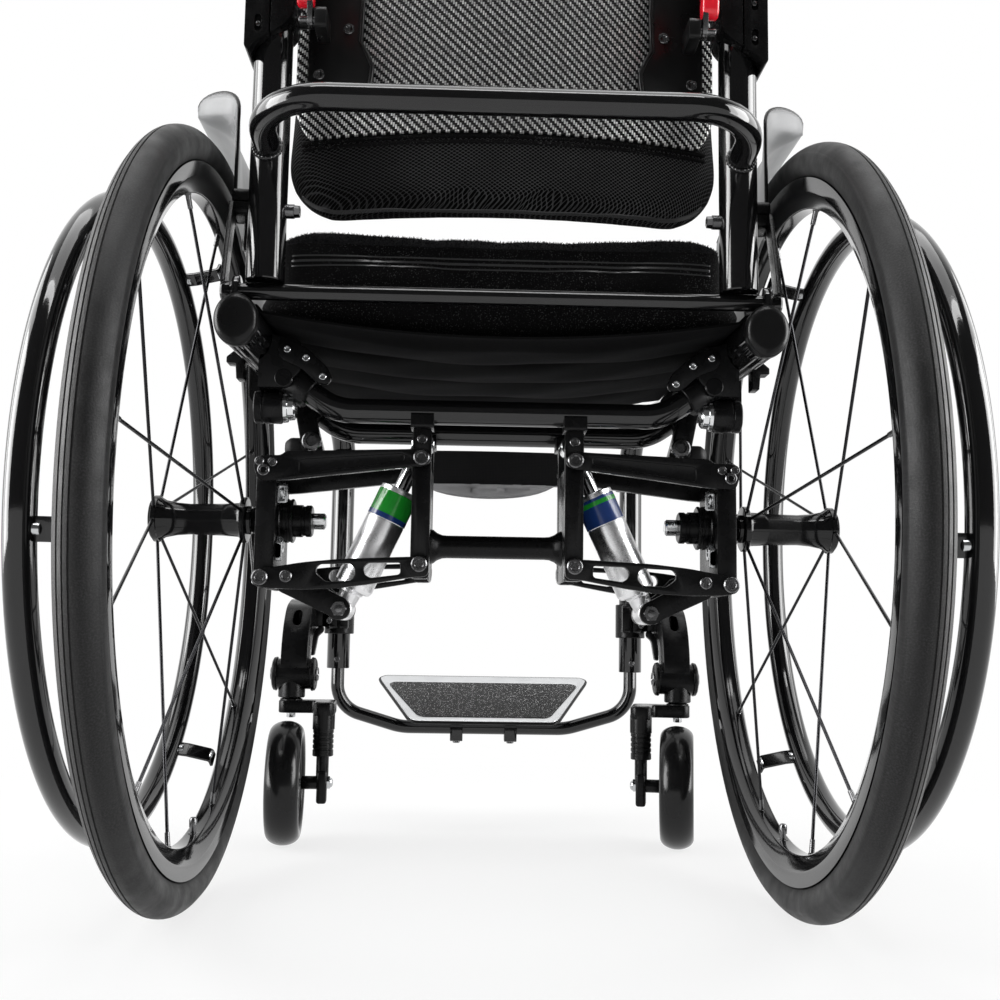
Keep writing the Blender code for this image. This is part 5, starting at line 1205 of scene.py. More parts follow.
def caster_leg(s):
    leg, x = (CASTER_X - FORK_LEG, CASTER_Y - TRAIL), CASTER_X
    z, h = CASTER_R, CASTER_WIDE / 2
    base = soften(block((leg[0] - 0.005, leg[0] + 0.005), (leg[1] - 0.009, leg[1] + 0.009),
        (z - 0.02, z + 0.012)), 0.0028, 4)
    post = rod((*leg, z + 0.006), (*leg, 0.115), 0.0062, 32)
    spacer = rod((leg[0], leg[1], z), (x - (h - 0.001), leg[1], z), 0.0065, 32, 0.0005)
    bolt = rod((leg[0], leg[1], z), (x + (h - 0.001), leg[1], z), 0.004, 28)
    name = "caster_leg"
    put(s, swivelled(join(base, post, spacer), s), "sprung_leg", SATIN, name, name, angle=36)
    acorn = stack((leg[0] - 0.005, leg[1], z), (-1, 0, 0), [
        (0, 0.0066, 1), (0.0028, 0.0066, 1), (0.0032, 0.005), (0.0044, 0.0045), (0.0054, 0.0034),
        (0.0059, 0.0016)], 24)
    cap = stack((x + h - 0.0042, leg[1], z), (1, 0, 0), [
        (0, 0.0064), (0.0022, 0.0064), (0.0032, 0.0052), (0.0032, 0.003), (0.0014, 0.0026, 1)], 24)
    put(s, swivelled(join(bolt, acorn, cap), s), "caster_bolt", STEEL, name)


def caster_wheel(s):
    x, z, h, r = CASTER_X, CASTER_R, CASTER_WIDE / 2, CASTER_R
    centre = (x, CASTER_Y - TRAIL, z)
    seat = r - 0.0155
    left = [(-h * 0.82, seat + GAP), (-h * 0.94, seat + 0.002)]
    crown_end = math.radians(84)
    for t in np.linspace(0, crown_end, 15):
        rise = math.sin(t) / math.sin(crown_end)
        left.append((-h * math.cos(t), seat + 0.005 + (r - seat - 0.005) * rise))
    tyre = turned(mirrored(left), 96, centre, "X", True)
    hub = turned(mirrored([
        (-h + 0.003, 0.0075), (-h + 0.003, 0.01), (-h + 0.004, 0.0112), (-0.006, 0.0122), (-0.0045, 0.0135),
        (-0.004, 0.016), (-0.004, seat - 0.009), (-0.005, seat - 0.0072), (-h * 0.7, seat - 0.005),
        (-h * 0.76, seat - 0.004), (-h * 0.78, seat - 0.003), (-h * 0.78, seat - GAP),
    ]), 64, centre, "X", True)
    bosses = []
    for k in range(5):
        t = math.radians(72 * k + 20)
        y, zz = centre[1] + 0.0245 * math.sin(t), z + 0.0245 * math.cos(t)
        cut(hub, rod((x - 0.03, y, zz), (x + 0.03, y, zz), 0.0085, 28))
        t += math.radians(36)
        for side in (-1, 1):
            path = [spread(centre, t, q, side * 0.004) for q in (0.0115, 0.037)]
            section = eased([(-0.0022, -0.002), (0.0022, -0.002), (0.0014, 0.0024), (-0.0014, 0.0024)],
                0.0008)
            across = Vector((0, math.cos(t), -math.sin(t)))
            bosses.append(sweep(path, [(a, b * side) for a, b in section], across))
    core = turned(mirrored([(-h + 0.0032, 0.0042), (-h + 0.0032, 0.0078)]), 32, centre, "X", True)
    hub = soften(hub, 0.0005, 2, 45)
    name = "caster_wheel"
    wheel = join(hub, core, *bosses)
    put(s, swivelled(tyre, s), "caster_tire", CASTER_RUBBER, name, "caster_tyre", angle=40)
    put(s, swivelled(wheel, s), "caster_core", PLASTIC, name, "caster_hub", angle=36)


def footrest():
    y, clip_x = LEG_Y + 0.013, (-0.03, 0.03)
    half = [(LEG_Y, LEG_END_Z + 0.02, LEG_X), (LEG_Y, FOOT_TUBE_Z + 0.022, LEG_X), (y, FOOT_TUBE_Z, 0.092)]
    corners = [(-x, y, z) for y, z, x in half] + [(x, y, z) for y, z, x in reversed(half)]
    bar = tube(arc_path(corners, [0.034, 0.06, 0.06, 0.034], 14), FOOT_TUBE_D / 2, 36, (0, 1, 0))
    clips = []
    for x in clip_x:
        outline = eased([(y - 0.011, FOOT_TUBE_Z - 0.0145), (y + 0.011, FOOT_TUBE_Z - 0.0145),
                         (y + 0.011, FOOT_TUBE_Z + 0.012), (y - 0.011, FOOT_TUBE_Z + 0.0035)], 0.003)
        clips.append(soften(slab(outline, x - 0.007, x + 0.007, "X"), 0.0008))
    piece(join(bar, *clips), "foot_bar", BLACK, "frame", ["foot_tube"], angle=40)
    bolts = [screw((x, y, FOOT_TUBE_Z - 0.0142), (0, 0, -1), 0.004, 0.0026) for x in clip_x]
    face = LEG_Y - LEG_D / 2 + 0.0004
    bolts += [screw((x, face, LEG_END_Z + 0.01), (0, -1, 0), 0.003, 0.0016) for x in (-LEG_X, LEG_X)]
    piece(join(*bolts), "foot_bolts", DARK, "frame")

    tilt = Matrix.Translation((0, *FOOT_NEAR)) @ Matrix.Rotation(math.radians(FOOT_TILT), 4, "X")
    near, far, deep, c = FOOT_NEAR_HALF, FOOT_FAR_HALF, FOOT_LONG, 0.006
    outline = [(-near + c, 0), (near - c, 0), (near + 0.001, c), (far - 0.002, deep - c - 0.008),
        (far, deep - c), (far - c, deep), (-far + c, deep), (-far, deep - c),
        (-far + 0.002, deep - c - 0.008), (-near - 0.001, c)]
    plate = slab(eased(outline, 0.005), 0.004, 0.008, "Z")
    recess = [(x * 0.905, 0.009 + t * 0.765) for x, t in outline]
    cut(plate, slab(eased(recess, 0.004), 0.007, 0.01, "Z"))
    plate = soften(plate, 0.0007)
    piece(move(plate, tilt), "foot_plate", PALE, "frame", ["footplate"], angle=36)
    trim = [(x, t, 0.006) for x, t in eased(outline, 0.005)]
    rings = []
    for k, here in enumerate(trim):
        here, after, before = (Vector(trim[j % len(trim)]) for j in (k, k + 1, k - 1))
        side = (after - before).cross(Vector((0, 0, 1))).normalized()
        rings.append([here + side * (a + 0.0008) + Vector((0, 0, b)) for a, b in circle(0.0017, 10)])
    trim = skin(rings, True)
    piece(move(trim, tilt), "foot_trim", CAP, "frame", slot="pale_aluminium", angle=50)
    shape = eased([(x * 0.995, 0.053 + (t - 0.053) * 0.99) for x, t in recess], 0.004)
    pad = soften(slab(shape, 0.007 + GAP, 0.0086, "Z"), 0.0003, 1)
    piece(move(pad, tilt), "foot_grip", GRIP, "frame", ["grip_pad"], angle=36)


# Back

def bead(x, y, z, round_cane, round_bar):
    """The rippled weld where the push bar meets a cane."""
    path = []
    for k in range(120):
        t = 2 * math.pi * k / 120
        out = round_bar * math.cos(t)
        at = y - math.sqrt(round_cane ** 2 - out ** 2)
        path.append((x + out, at, z + round_bar * math.sin(t)))
    rings = []
    for k, here in enumerate(path):
        here, after, before = (Vector(path[j % 120]) for j in (k, k + 1, k - 1))
        along = (after - before).normalized()
        away = Vector((0, -1, 0))
        side = along.cross(away).normalized()
        r = 0.0016 + 0.0003 * math.sin(k * math.pi / 2.5)
        rings.append([here + (side * math.cos(t) + side.cross(along) * math.sin(t)) * r
                      for t in np.linspace(0, 2 * math.pi, 10, endpoint=False)])
    return skin(rings, True)


def back():
    end = RAIL_X + 0.01
    bar = rod((-end, HINGE_Y, HINGE_Z), (end, HINGE_Y, HINGE_Z), HINGE_D / 2, 32)
    heads = [sided(stack((end - 0.001, HINGE_Y, HINGE_Z), (1, 0, 0), [
        (0, 0.0075), (0.005, 0.0075), (0.0065, 0.0062), (0.0065, 0.0036), (0.0062, 0.0034, 1),
        (0.0035, 0.0033, 1)], 36), s) for s in (-1, 1)]
    piece(join(bar, *heads), "hinge_rod", BLACK, "back", ["hinge_bar"], angle=36)

    y = CANE_Y
    corners = [(-CANE_X, y, PUSH_Z - 0.009), (-CANE_X, PUSH_BACK, PUSH_Z), (CANE_X, PUSH_BACK, PUSH_Z),
               (CANE_X, y, PUSH_Z - 0.009)]
    push = tube(arc_path(corners, [0.05, 0.05], 16), PUSH_D / 2, 40, (0, 0, 1))
    welds, bolts = [], []
    for s in (-1, 1):
        x = s * CANE_X
        cut(push, rod((x, y, PUSH_Z - 0.05), (x, y, PUSH_Z + 0.05), CANE_D / 2 + GAP, 48))
        welds.append(bead(x, y, PUSH_Z - 0.0083, CANE_D / 2 + 0.0012, PUSH_D / 2 + 0.0002))
    piece(join(push, *welds), "push_handle", BLACK, "back", ["push_bar"], angle=40)

    for s in SIDES.values():
        foot = HINGE_Z + HINGE_D / 2 + GAP
        cane = stack((CANE_X, y, foot), (0, 0, 1), [
            (0, CANE_D / 2 - 0.0008), (0.0008, CANE_D / 2), (CANE_TOP - foot - 0.0045, CANE_D / 2),
            (CANE_TOP - foot - 0.004, CANE_D / 2 - 0.0006), (CANE_TOP - foot - 0.0035, CANE_D / 2),
            (CANE_TOP - foot - 0.0012, CANE_D / 2 - 0.0008), (CANE_TOP - foot, CANE_D / 2 - 0.003)], 48)
        put(s, cane, "cane", BLACK, "back", "back_cane", angle=36)
        inner_nut = stack((0.1485, y, 0.5122), (1, 0, 0), [
            (0, 0.003), (0, 0.0042, 1), (0.004, 0.0046, 1), (0.0042, 0.0052), (0.011, 0.0052)], 24)
        bolts.append(sided(inner_nut, s))

        outer, inner, low, long = CANE_X + 0.018, CANE_X - 0.016, PUSH_Z + 0.06, 0.112
        bolt_x, bolt_z = CANE_X + 0.0085, (low + 0.021, low + 0.048)
        outline = eased([
            (inner, low + 0.028), (inner + 0.006, low + 0.0205), (CANE_X + 0.012, low + 0.006),
            (outer - 0.003, low), (outer, low + 0.003), (outer, low + long), (inner, low + long),
        ], 0.004)
        clamp = slab(outline, y - 0.0215, y + 0.0175)
        cut(clamp, rod((CANE_X, y, low - 0.02), (CANE_X, y, low + 0.15), CANE_D / 2 + GAP, 48))
        for z in bolt_z:
            slot = capsule((bolt_x, z - 0.004), (bolt_x, z + 0.004), 0.0024, 8)
            cut(clamp, slab(slot, y - 0.025, y - 0.018))
        groove = block((CANE_X - 0.0006, CANE_X + 0.0006), (y - 0.03, y - CANE_D / 2 + 0.002),
            (low - 0.01, low + 0.12))
        cut(clamp, groove)
        put(s, soften(clamp, 0.0018, 3, 40), "cane_block", SATIN, "back", "cane_clamp", angle=36)
        for z in bolt_z:
            bolts.append(sided(screw((bolt_x, y - 0.0195, z), (0, -1, 0), 0.0021, 0.0012), s))

        rows = [(0.61, 0.1), (0.617, 0.099), (0.625, 0.0985), (0.634, 0.102), (0.644, 0.1075), (0.658, 0.107),
                (0.672, 0.1065), (0.686, 0.1072), (0.7, 0.108), (0.718, 0.1098), (0.735, 0.112)]
        grid = []
        for z, first in rows:
            grid.append([(x, back_y(x) - 0.0036, z) for x in np.linspace(first, 0.148, 13)])
        bracket = soften(thick_sheet(grid, 0.005), 0.0009)
        lip = tube([Vector(row[0]) + Vector((0.001, -0.0022, 0)) for row in grid], 0.0016, 12)
        ear = soften(slab(eased([(-0.126, 0.637), (-0.098, 0.637), (-0.098, 0.653), (-0.126, 0.653)], 0.004),
                          0.13, 0.1385, "X"), 0.0008)
        arms = [rod((0.14, -0.0835, z), (0.1556, -0.0835, z), 0.0045, 32) for z in (0.662, 0.71)]
        put(s, [bracket, lip, ear, *arms], "shell_mount", CAP, "back", "shell_bracket", slot="satin_black",
            angle=36)
        for x, z in ((0.118, 0.655), (0.118, 0.712), (0.14, 0.725), (0.14, 0.622)):
            bolts.append(sided(screw((x, back_y(x) - 0.0058, z), (-0.3, -1, 0), 0.0042, 0.0022), s))

        at = (-0.119, 0.645)
        lever = slab(capsule(at, (-0.1215, 0.656), 0.0055, 10), 0.14, 0.144, "X")
        cut(lever, rod((0.12, at[0], at[1]), (0.17, at[0], at[1]), 0.003, 24))
        lever = soften(lever, 0.0007)
        grip = slab(capsule((-0.1215, 0.66), (-0.126, 0.69), 0.007, 10), 0.1392, 0.1515, "X")
        put(s, soften(grip, 0.0024, 4, 40), "red_grip", RED, "release_lever", "release_lever", angle=40)
        put(s, lever, "lever_stem", DARK, "release_lever", angle=36)
        bolts.append(sided(screw((0.1342, *at), (1, 0, 0), 0.0026, 0.016), s))
    piece(join(*bolts), "back_bolts", DARK, "back")

    grid = []
    for v in np.linspace(0, 1, 81):
        z = SHELL_LOW + v * (SHELL_TOP - SHELL_LOW)
        low = max(0.0, 1 - (z - SHELL_LOW) / 0.03)
        high = max(0.0, 1 - (SHELL_TOP - z) / 0.045)
        half = SHELL_HALF - 0.012 * low ** 2 - 0.03 * high ** 2
        grid.append([(u * half, back_y(u * half) + 0.0019, z) for u in np.linspace(-1, 1, 91)])
    shell = soften(thick_sheet(grid, 0.0038), 0.0011, 3, 50)
    piece(shell, "carbon_shell", CARBON, "back", ["back_shell"], angle=40)


# Soft parts

def pillow(spot, across, along, square=4.0):
    us = [math.sin(math.pi * (k / across - 0.5)) for k in range(across + 1)]
    vs = [math.sin(math.pi * (k / along - 0.5)) for k in range(along + 1)]

    def full(t):
        return max(0.0, 1 - abs(t) ** square) ** (1 / square)

    points, faces = [], []
    for sign in (1, -1):
        for u in us:
            points += [spot(u, v, sign * full(u) * full(v)) for v in vs]
    count = len(us) * len(vs)
    for i in range(across):
        for j in range(along):
            a = i * (along + 1) + j
            quad = [a, a + 1, a + along + 2, a + along + 1]
            faces.append(quad)
            faces.append([count + q for q in reversed(quad)])
    return solid(points, faces)


def corner_half(half, distance, radius):
    inside = max(0.0, radius - distance)
    return half - radius + math.sqrt(radius ** 2 - inside ** 2)


def coordinates(mesh):
    flat = np.empty(len(mesh.vertices) * 3)
    mesh.vertices.foreach_get("co", flat)
    return flat.reshape(-1, 3)


def inflate(base, cap, fit, hold, voxel=0.0045):
    """The pad swollen by a cloth simulation, each point moved by at most cap, then by fit.

    Along the axes in hold the swollen pad is drawn back to the reach it had.
    """
    applied(base, "REMESH", mode="VOXEL", voxel_size=voxel)
    start = coordinates(base.data)
    low, high = start.min(axis=0), start.max(axis=0)
    step = base.modifiers.new("cloth", "CLOTH")
    cloth = step.settings
    cloth.use_pressure = True
    cloth.uniform_pressure_force = CLOTH_PRESSURE
    cloth.effector_weights.gravity = 0
    cloth.quality = 6
    cloth.tension_stiffness = cloth.compression_stiffness = CLOTH_STIFF
    cloth.bending_stiffness = CLOTH_BEND
    step.point_cache.frame_start, step.point_cache.frame_end = 1, CLOTH_FRAMES
    scene = bpy.context.scene
    for number in range(1, CLOTH_FRAMES + 1):
        scene.frame_set(number)
    graph = bpy.context.evaluated_depsgraph_get()
    swollen = coordinates(base.evaluated_get(graph).data)
    base.modifiers.remove(step)
    scene.frame_set(1)
    moved = swollen - start
    length = np.linalg.norm(moved, axis=1, keepdims=True)
    start = start + moved * np.minimum(1.0, cap / np.maximum(length, 1e-9))
    for axis in hold:
        a, b = start[:, axis].min(), start[:, axis].max()
        start[:, axis] = low[axis] + (start[:, axis] - a) * (high[axis] - low[axis]) / (b - a)
    points = np.array([fit(*p) for p in start])
    base.data.vertices.foreach_set("co", points.ravel())
    base.data.update()
    applied(base, "SMOOTH", factor=0.5, iterations=3)
    return applied(base, "SUBSURF", levels=1, render_levels=1)


def laid_on(target, line, way, lift):
    """The points moved along way until they meet the target, then lifted off it."""
    mesh = target.data
    tree = BVHTree.FromPolygons([v.co.copy() for v in mesh.vertices], [p.vertices for p in mesh.polygons])
    way = Vector(way).normalized()
    made = []
    for point in line:
        for step in range(12):
            from_here = Vector(point) + Vector((0, 0, 0.0015 * step)) - way * 0.08
            hit, normal, *_ = tree.ray_cast(from_here, way)
            if hit is not None:
                made.append((hit - way * lift, normal))
                break
    return made


def strip(points, section_at):
    """A skin along points given with their normals; section_at(k) is the section there, (across, out)."""
    rings = []
    for k, (here, normal) in enumerate(points):
        before, after = points[max(k - 1, 0)][0], points[min(k + 1, len(points) - 1)][0]
        up = normal.cross((after - before).normalized()).normalized()
        rings.append([here + up * a + normal * b for a, b in section_at(k)])
    return skin(rings)


def toothed(points, tall, thick):
    """Zip teeth, one by one along the line, over the tape that carries them."""
    wide, low = tall * 1.3, thick * 0.4
    tape = [(-wide, -low), (-wide * 0.8, low), (wide * 0.8, low), (wide, -low)]
    parts = [strip(points, lambda k: tape)]
    travel, gap = 0.0, 0.0011
    for (a, normal), (b, _) in zip(points, points[1:]):
        long = (b - a).length
        while travel < long:
            at = a + (b - a) * (travel / long)
            along = (b - a).normalized()
            up = normal.cross(along).normalized()
            size = ((along, gap * 0.3), (up, tall), (normal, thick))
            corners = [at + sum((v * (w * k) for (v, w), k in zip(size, (x, y, z))), Vector())
                       for z in (-1, 1) for x, y in ((-1, -1), (1, -1), (1, 1), (-1, 1))]
            parts.append(solid(corners, [[0, 3, 2, 1], [4, 5, 6, 7], [0, 1, 5, 4], [1, 2, 6, 5], [2, 3, 7, 6],
                                         [3, 0, 4, 7]]))
            travel += gap
        travel -= long
    return join(*parts)


def piping(points, radius):
    """A bound cord sewn along the line, ridged by its thread."""
    return strip(points, lambda k: circle(radius * (1 + 0.18 * (k % 2)), 8))


def give_way(made):
    """Gives the seat's cushion and what is sewn to it a mesh of their own."""
    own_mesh(made)


def back_cushion():
    low, high, half, corner = SHELL_LOW - 0.058, SHELL_TOP - 0.01, SHELL_HALF + 0.008, 0.048
    middle, tall = (low + high) / 2, (high - low) / 2

    def spot(u, v, w):
        x = u * corner_half(half - 0.002, (tall - 0.002) * (1 - abs(v)), corner)
        z = middle + (tall - 0.002) * v
        belly = 0.004 * (1 - u * u) * (1 - v * v)
        return (x, back_y(x) + 0.0062 + 0.0225 * (1 + w) + belly * max(w, 0), z)

    def edge_z(x, up):
        over = max(0.0, abs(x) - (half - corner))
        return low + up + corner - math.sqrt(max(0.0, corner ** 2 - over ** 2))

    def fit(x, y, z):
        rear = back_y(x) + 0.0044
        return (min(max(x, -half), half), min(max(y, rear), rear + 0.058), min(max(z, low), high))

    pad = inflate(pillow(spot, 48, 48, 4.2), 0.008, fit, (0, 2))
    reach = np.linspace(-0.152, 0.152, 301)
    seam = laid_on(pad, [(x, back_y(x) - 0.03, edge_z(x, 0.005)) for x in reach], (0, 1, 0), 0.0)
    edge = laid_on(pad, [(x, back_y(x) - 0.03, SHELL_LOW - 0.0015) for x in reach[::2]], (0, 1, 0), 0.0)
    under = laid_on(pad, [(x, back_y(x) - 0.03, SHELL_LOW - 0.006) for x in reach[::2]], (0, 1, 0), 0.0)
    piece(pad, "back_pad", MESH, "back", ["back_cushion"], angle=60)
    piece(toothed(seam, 0.0016, 0.0007), "back_zip", ZIP, "back", slot="back_mesh", angle=40)
    piece(join(piping(edge, 0.0018), piping(under, 0.0014)), "back_piping", SIDE_CLOTH, "back",
        slot="back_mesh", angle=50)


def sling_z(x, y, edge, lift):
    sag = 0.009 + 0.006 * max(0.0, 1 - (y - CUSHION_BACK) / 0.4)
    return rail_z(y) + lift - sag * (1 - (x / edge) ** 2)


def fold_z(x, y, edge, lift):
    """The sling's cloth, which hangs in soft rolls between its bands."""
    free = 1 - (x / edge) ** 4
    roll = abs(math.sin(math.pi * (y + 0.088) / 0.092)) ** 0.6
    crease = 0.0012 * math.sin(x * 46 + y * 30) * math.sin(y * 85)
    return sling_z(x, y, edge, lift) - (0.0085 * roll + crease) * free * min(1.0, (y + 0.088) / 0.02)


def seat():
    a, b, leave = RAIL_WIDE / 2 + 0.0016, RAIL_HIGH / 2 + 0.0016, math.radians(35)
    edge, lift = RAIL_X - a * math.cos(leave), b * math.sin(leave)
    wrap = [(a * math.cos(math.radians(t)), b * math.sin(math.radians(t))) for t in (90, 82, 74, 65, 55, 45)]
    grid = []
    for y in np.linspace(-0.088, TAPER_Y - 0.022, 141):
        row = [(x, y, fold_z(x, y, edge, lift)) for x in np.linspace(-edge, edge, 61)]
        left = [(-RAIL_X + out, y, rail_z(y) + up) for out, up in wrap]
        right = [(RAIL_X - out, y, rail_z(y) + up) for out, up in reversed(wrap)]
        grid.append(left + row + right)
    sling = thick_sheet(grid, 0.0018)
    cut(sling, block((-0.22, 0.22), (-0.11, -0.081), (HINGE_Z - 0.0085, HINGE_Z + 0.02)))
    piece(sling, "seat_cloth", CLOTH, "frame", ["seat_sling"], angle=50)

    middle, deep = (CUSHION_FRONT + CUSHION_BACK) / 2, (CUSHION_FRONT - CUSHION_BACK) / 2
    half_x = CUSHION_HALF

    def floor_at(x, y):
        low = sling_z(min(max(x, -edge), edge), y, edge, lift) + 0.0016
        if abs(x) > edge:
            low += b * (1 - math.sin(leave))
        return low

    def over(y, z):
        """How far the pad's lower edge spreads over the rails."""
        high = min(1.0, max(0.0, (rail_z(y) + 0.044 - z) / 0.01))
        wide = 0.009 + 0.008 * min(1.0, max(0.0, (0.02 - y) / 0.04))
        return wide * high * min(1.0, max(0.0, (y + 0.068) / 0.01))

    def spot(u, v, w):
        x = u * corner_half(half_x - 0.002, (deep - 0.002) * (1 - abs(v)), 0.02)
        y = middle + (deep - 0.002) * v
        low = floor_at(x, y) + 0.001
        top = rail_z(y) + CUSHION_TOP - 0.003 + 0.006 * (1 - v * v) - 0.004 * (1 - u * u)
        half = (top - low) / 2
        z = low + half + half * w
        return (x + over(y, z) * u ** 7, y, z)

    def fit(x, y, z):
        low = floor_at(x, y)
        high = rail_z(y) + CUSHION_TOP + 0.006
        wide = half_x + over(y, z)
        return (min(max(x, -wide), wide), min(max(y, CUSHION_BACK), CUSHION_FRONT), min(max(z, low), high))

    pad = inflate(pillow(spot, 56, 56, 14.0), 0.007, fit, (0, 1), 0.005)
    seams = []
    for drop in (0.0215, 0.0255, 0.0295):
        line = [(x, CUSHION_BACK, rail_z(CUSHION_BACK) + CUSHION_TOP - drop)
            for x in np.linspace(-0.158, 0.158, 281)]
        seams.append(laid_on(pad, line, (0, 1, 0), 0.0))
    top = faces_by_height(pad)
    fuzz = pile(pad, top)
    piece(pad, "seat_pad", SIDE_CLOTH, "frame", ["seat_cushion"], angle=60)
    pad.data.materials.append(FLEECE)
    for index in top:
        pad.data.polygons[index].material_index = 1
    give_way(pad)
    piece(fuzz, "seat_pile", FLEECE, "frame", angle=60)
    give_way(fuzz)
    for k, seam in enumerate(seams):
        band = toothed(seam, 0.0008 if k == 1 else 0.0005, 0.0005)
        piece(band, f"seat_zip_{k + 1}", ZIP, "frame", angle=40)
        give_way(band)


def pile(pad, faces):
    """Short curls of pile on the top panel, densest at its rear edge."""
    chance = np.random.default_rng(7)
    near = [pad.data.polygons[k] for k in faces if pad.data.polygons[k].center.y < CUSHION_BACK + 0.045]
    points, made = [], []
    for face in near:
        for _ in range(2 if face.center.y < CUSHION_BACK + 0.012 else 1):
            a, b, c = (pad.data.vertices[k].co for k in list(face.vertices)[:3])
            u, v = chance.random(2)
            at = a + (b - a) * u + (c - b) * v
            lean = Vector(chance.normal(0, 0.55, 3)) + face.normal
            tip = at + lean.normalized() * (0.001 + 0.0013 * chance.random())
            side = lean.orthogonal().normalized() * 0.00045
            third = side.cross(lean.normalized())
            start = len(points)
            points += [at + side, at - side * 0.5 + third * 0.87, at - side * 0.5 - third * 0.87, tip]
            made += [[start + k for k in three] for three in ((0, 1, 3), (1, 2, 3), (2, 0, 3), (0, 2, 1))]
    return solid(points, made)


def faces_by_height(pad):
    """Faces of the pad's upper panel, above the seam that runs round it."""
    found = []
    for face in pad.data.polygons:
        rise = face.center.z - rail_z(face.center.y)
        if rise > CUSHION_TOP - 0.012 or (face.normal.z > 0.75 and rise > 0.045):
            found.append(face.index)
    return found


def calf_strap():
    r = LEG_D / 2 + 0.0038
    path = [(-LEG_X + r * math.cos(t), LEG_Y + r * math.sin(t)) for t in np.radians(np.linspace(20, 270, 31))]
    span = LEG_X - 0.0245
    low = [(span * (k / 15 - 1), LEG_Y - r - 0.012 * math.sin(math.pi * k / 30)) for k in range(31)]
    line = path[:-1] + low + [(-x, y) for x, y in reversed(path)][1:]
    bend_z = rail_z(LEG_Y) - LEG_BEND * math.tan(math.radians(45 - SEAT_RISE / 2))
    inward = (RAIL_X - LEG_X) / (LEG_Y - TAPER_Y)
    inner = LEG_BEND - LEG_D / 2 - 0.004
    grid = []
    for k in range(31):
        row = []
        for x, y in line:
            rear = 1.0 if y < LEG_Y - LEG_D / 2 else 0.0
            hang = 0.0012 + 0.015 * rear * max(0.0, 1 - (x / 0.07) ** 2) ** 0.6
            slack = max(0, k - 15) / 15
            z = 0.411 - 0.037 * min(k, 15) / 15 - hang * slack
            rise = max(0.0, z - bend_z)
            back_by = inner - math.sqrt(inner ** 2 - rise ** 2)
            wave = math.sin(x * 150 + 3 * slack) + 0.7 * math.sin(x * 330 - 4 * slack)
            fold = math.sin(math.pi * min(1.0, slack * 1.2)) * (0.006 + 0.0034 * wave)
            out = (hang - 0.0012) / 0.015 * fold
            row.append((x * (1 + back_by * inward / LEG_X), y - back_by - out, z))
        grid.append(row)
    strap = thick_sheet(grid, 0.0018)
    piece(strap, "leg_strap", STRAP, "frame", ["calf_strap"], angle=50)
    # The slack lower part of the strap, below this height, is painted a paler grey.
    strap.data.materials.append(SLACK_GREY)
    for face in strap.data.polygons:
        face.material_index = int(face.center.z < 0.3739)
    long = sum((Vector(q) - Vector(p)).length for p, q in zip(line, line[1:]))


def side_guard(s):
    plate_x, tyre_top = TRACK - TYRE_WIDE / 2 - 0.0128, 2 * WHEEL_R
    foot = RAIL_HIGH / 2 + rail_z(0.05) + 0.004
    heights = (-0.06, -0.01, 0.004, 0.012, 0.0175, 0.0225, 0.0285)
    reach = (0.0, 0.003, 0.006, 0.01, 0.016, 0.025, 0.0385)
    grid = []
    for v in np.linspace(0, 1, 57):
        line = []
        for k in range(41):
            t = k / 40
            low_rear = 1 - min(1.0, max(0.0, (t - 0.28) / 0.16))
            rear = -0.04 + 0.07 * low_rear ** 2
            y = rear + (0.15 - rear) * v ** 1.3
            far = min(1.0, max(0.0, (y + 0.04) / 0.034))
            ahead = far * far * (3 - 2 * far)
            crest = math.sqrt(1 - (1 - min(1.0, far / 0.55)) ** 2)
            top = tyre_top + 0.009 + 0.034 * crest - 0.008 * max(0.0, (far - 0.55) / 0.45) ** 2
            top -= 0.045 * max(0.0, (y - 0.05) / 0.1) ** 2
            z = foot + (top - foot) * t
            line.append((plate_x + ahead * np.interp(z - tyre_top, heights, reach), y, z))
        grid.append(line)
    base = soften(thick_sheet(grid, 0.0024), 0.0008, 2, 50)
    border = grid[0][17:] + [line[-1] for line in grid[1:]]
    edging = tube([Vector(p) + Vector((0, 0, 0.0004)) for p in border], 0.0015, 10, (1, 0, 0))
    strut = sweep([(0.203, -0.085, 0.458), (0.2045, -0.07, 0.49), (0.206, -0.05, 0.53)],
                  eased([(-0.0018, -0.0065), (0.0018, -0.0065), (0.0018, 0.0065), (-0.0018, 0.0065)], 0.0008))
    knob = soften(slab(eased([(-0.056, 0.5225), (-0.03, 0.5225), (-0.03, 0.544), (-0.056, 0.544)], 0.005),
                       0.1925, plate_x - 0.0005, "X"), 0.0016, 3)
    slit = [(-0.06, 0.5325), (-0.0535, 0.5325), (-0.0535, 0.5337), (-0.06, 0.5337)]
    cut(knob, slab(slit, 0.19, 0.215, "X"))
    hook = [stack((0.1965, -0.043, 0.523), (0, 0, -1), [
        (0, 0.0016), (0.006, 0.0018), (0.016, 0.003), (0.022, 0.0032), (0.025, 0.0022)], 16)]
    tab_x = (RAIL_X + RAIL_WIDE / 2 + 0.0003, plate_x + 0.0001)
    tab = soften(block(tab_x, (0.08, 0.122), (rail_z(0.1) - 0.0015, rail_z(0.1) + 0.0485)), 0.001)
    put(s, base, "guard", GUARD, "frame", "side_guard", angle=40)
    put(s, edging, "guard_edge", CAP, slot="guard_grey", angle=60)
    put(s, [tab, strut, knob, *hook], "guard_post", SATIN, angle=36)
    heads = [screw((plate_x + 0.0011, 0.101, z), (1, 0, 0), 0.0042, 0.0016) for z in (0.447, 0.47)]
    put(s, heads, "guard_bolts", DARK)


# Build

cross_tubes()
suspension_carrier()
for side_name, sign in SIDES.items():
    side_frame(side_name, sign)
    for make in (rail_clamp, upper_arm, lower_arm, upright, axle, shock, rear_wheel, handrim,
                 caster_bracket, caster_fork, caster_leg, caster_wheel, side_guard):
        make(sign)
footrest()
back()
back_cushion()
seat()
calf_strap()


# Floor, light and camera

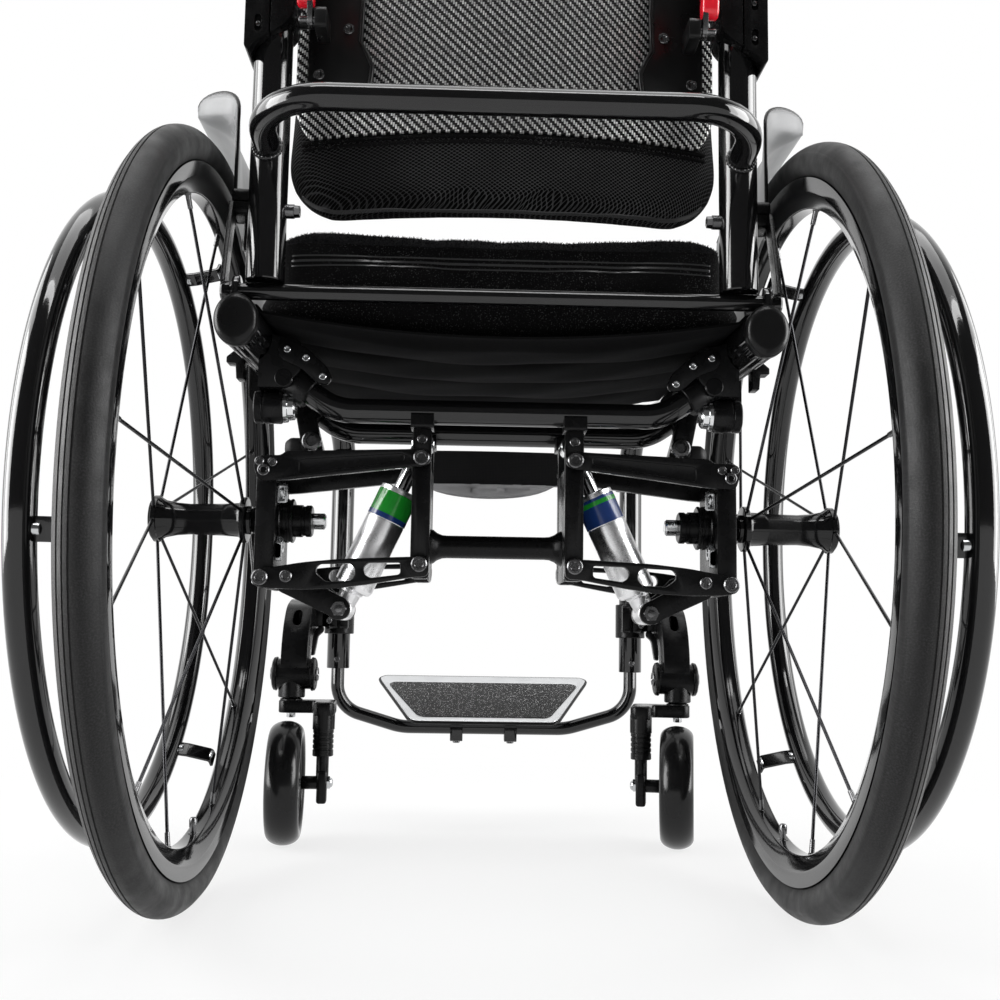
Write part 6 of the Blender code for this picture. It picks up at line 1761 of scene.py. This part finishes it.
def lamp(name, at, look_at, wide, high, power):
    data = bpy.data.lights.new(name, "AREA")
    data.shape, data.size, data.size_y, data.energy = "RECTANGLE", wide, high, power
    made = bpy.data.objects.new(name, data)
    made.location = at
    made.rotation_euler = (Vector(look_at) - Vector(at)).to_track_quat("-Z", "Y").to_euler()
    bpy.context.scene.collection.objects.link(made)
    return made


floor = solid([(-6, -6, -0.0005), (6, -6, -0.0005), (6, 6, -0.0005), (-6, 6, -0.0005)], [[0, 1, 2, 3]])
floor.name = "floor"
floor.data.materials.append(FLOOR)

world = bpy.data.worlds.new("studio")
world.use_nodes = True
bpy.context.scene.world = world
sky = Nodes(world.node_tree)
ray = sky.rays()
ahead = sky.node("SeparateXYZ", {0: sky.node("TexCoord", out="Generated")}, 1)
drop = sky.fit(ahead, -0.15, 0.45, 0.1, 1.0, interpolation_type="SMOOTHSTEP")
shown = sky.math("MAXIMUM", ray["Is Camera Ray"], ray["Is Transmission Ray"])
level = sky.math("MAXIMUM", shown, sky.times(ray["Is Glossy Ray"], drop))
seen = sky.math("MAXIMUM", shown, ray["Is Glossy Ray"])
plain = sky.node("Background", {"Color": (1, 1, 1, 1), "Strength": 0.34})
white = sky.node("Background", {"Color": (1, 1, 1, 1), "Strength": level})
both = sky.node("MixShader", {0: seen, 1: plain, 2: white})
sky.put(sky.tree.nodes["World Output"].inputs["Surface"], both)

lamp("left", (-1.9, -0.2, 1.0), (0, 0, 0.4), 1.5, 2.0, 42)
lamp("right", (1.9, -0.1, 0.9), (0, 0, 0.4), 1.5, 2.0, 36)
lamp("top", (0.0, -0.1, 2.4), (0, 0, 0.3), 2.0, 1.6, 24)
for name, at, wide, high, power in (
    ("left_box", (-1.9, -0.75, 0.75), 1.1, 1.7, 60), ("right_box", (1.9, -0.65, 0.75), 1.1, 1.7, 55),
    ("high_box", (0.0, -0.9, 2.1), 1.5, 0.25, 12),
):
    lamp(name, at, (0, 0, 0.45), wide, high, power).visible_diffuse = False

yaw, pitch, roll = (math.radians(v) for v in (1.65, 6.47, 0.9))
forward = Vector((math.sin(yaw) * math.cos(pitch), math.cos(yaw) * math.cos(pitch), math.sin(pitch)))
level = Vector((math.cos(yaw), -math.sin(yaw), 0))
upward = level.cross(forward)
right = level * math.cos(roll) + upward * math.sin(roll)
upward = upward * math.cos(roll) - level * math.sin(roll)
lens = bpy.data.cameras.new("camera")
lens.sensor_width, lens.lens = 36.0, 42.372
camera = bpy.data.objects.new("camera", lens)
turn = Matrix((right, upward, -forward)).transposed().to_4x4()
camera.matrix_world = Matrix.Translation((-0.0238, -0.9233 + AXLE_Y, 0.2099)) @ turn
bpy.context.scene.collection.objects.link(camera)
bpy.context.scene.camera = camera
bpy.context.scene.view_settings.view_transform = "Standard"
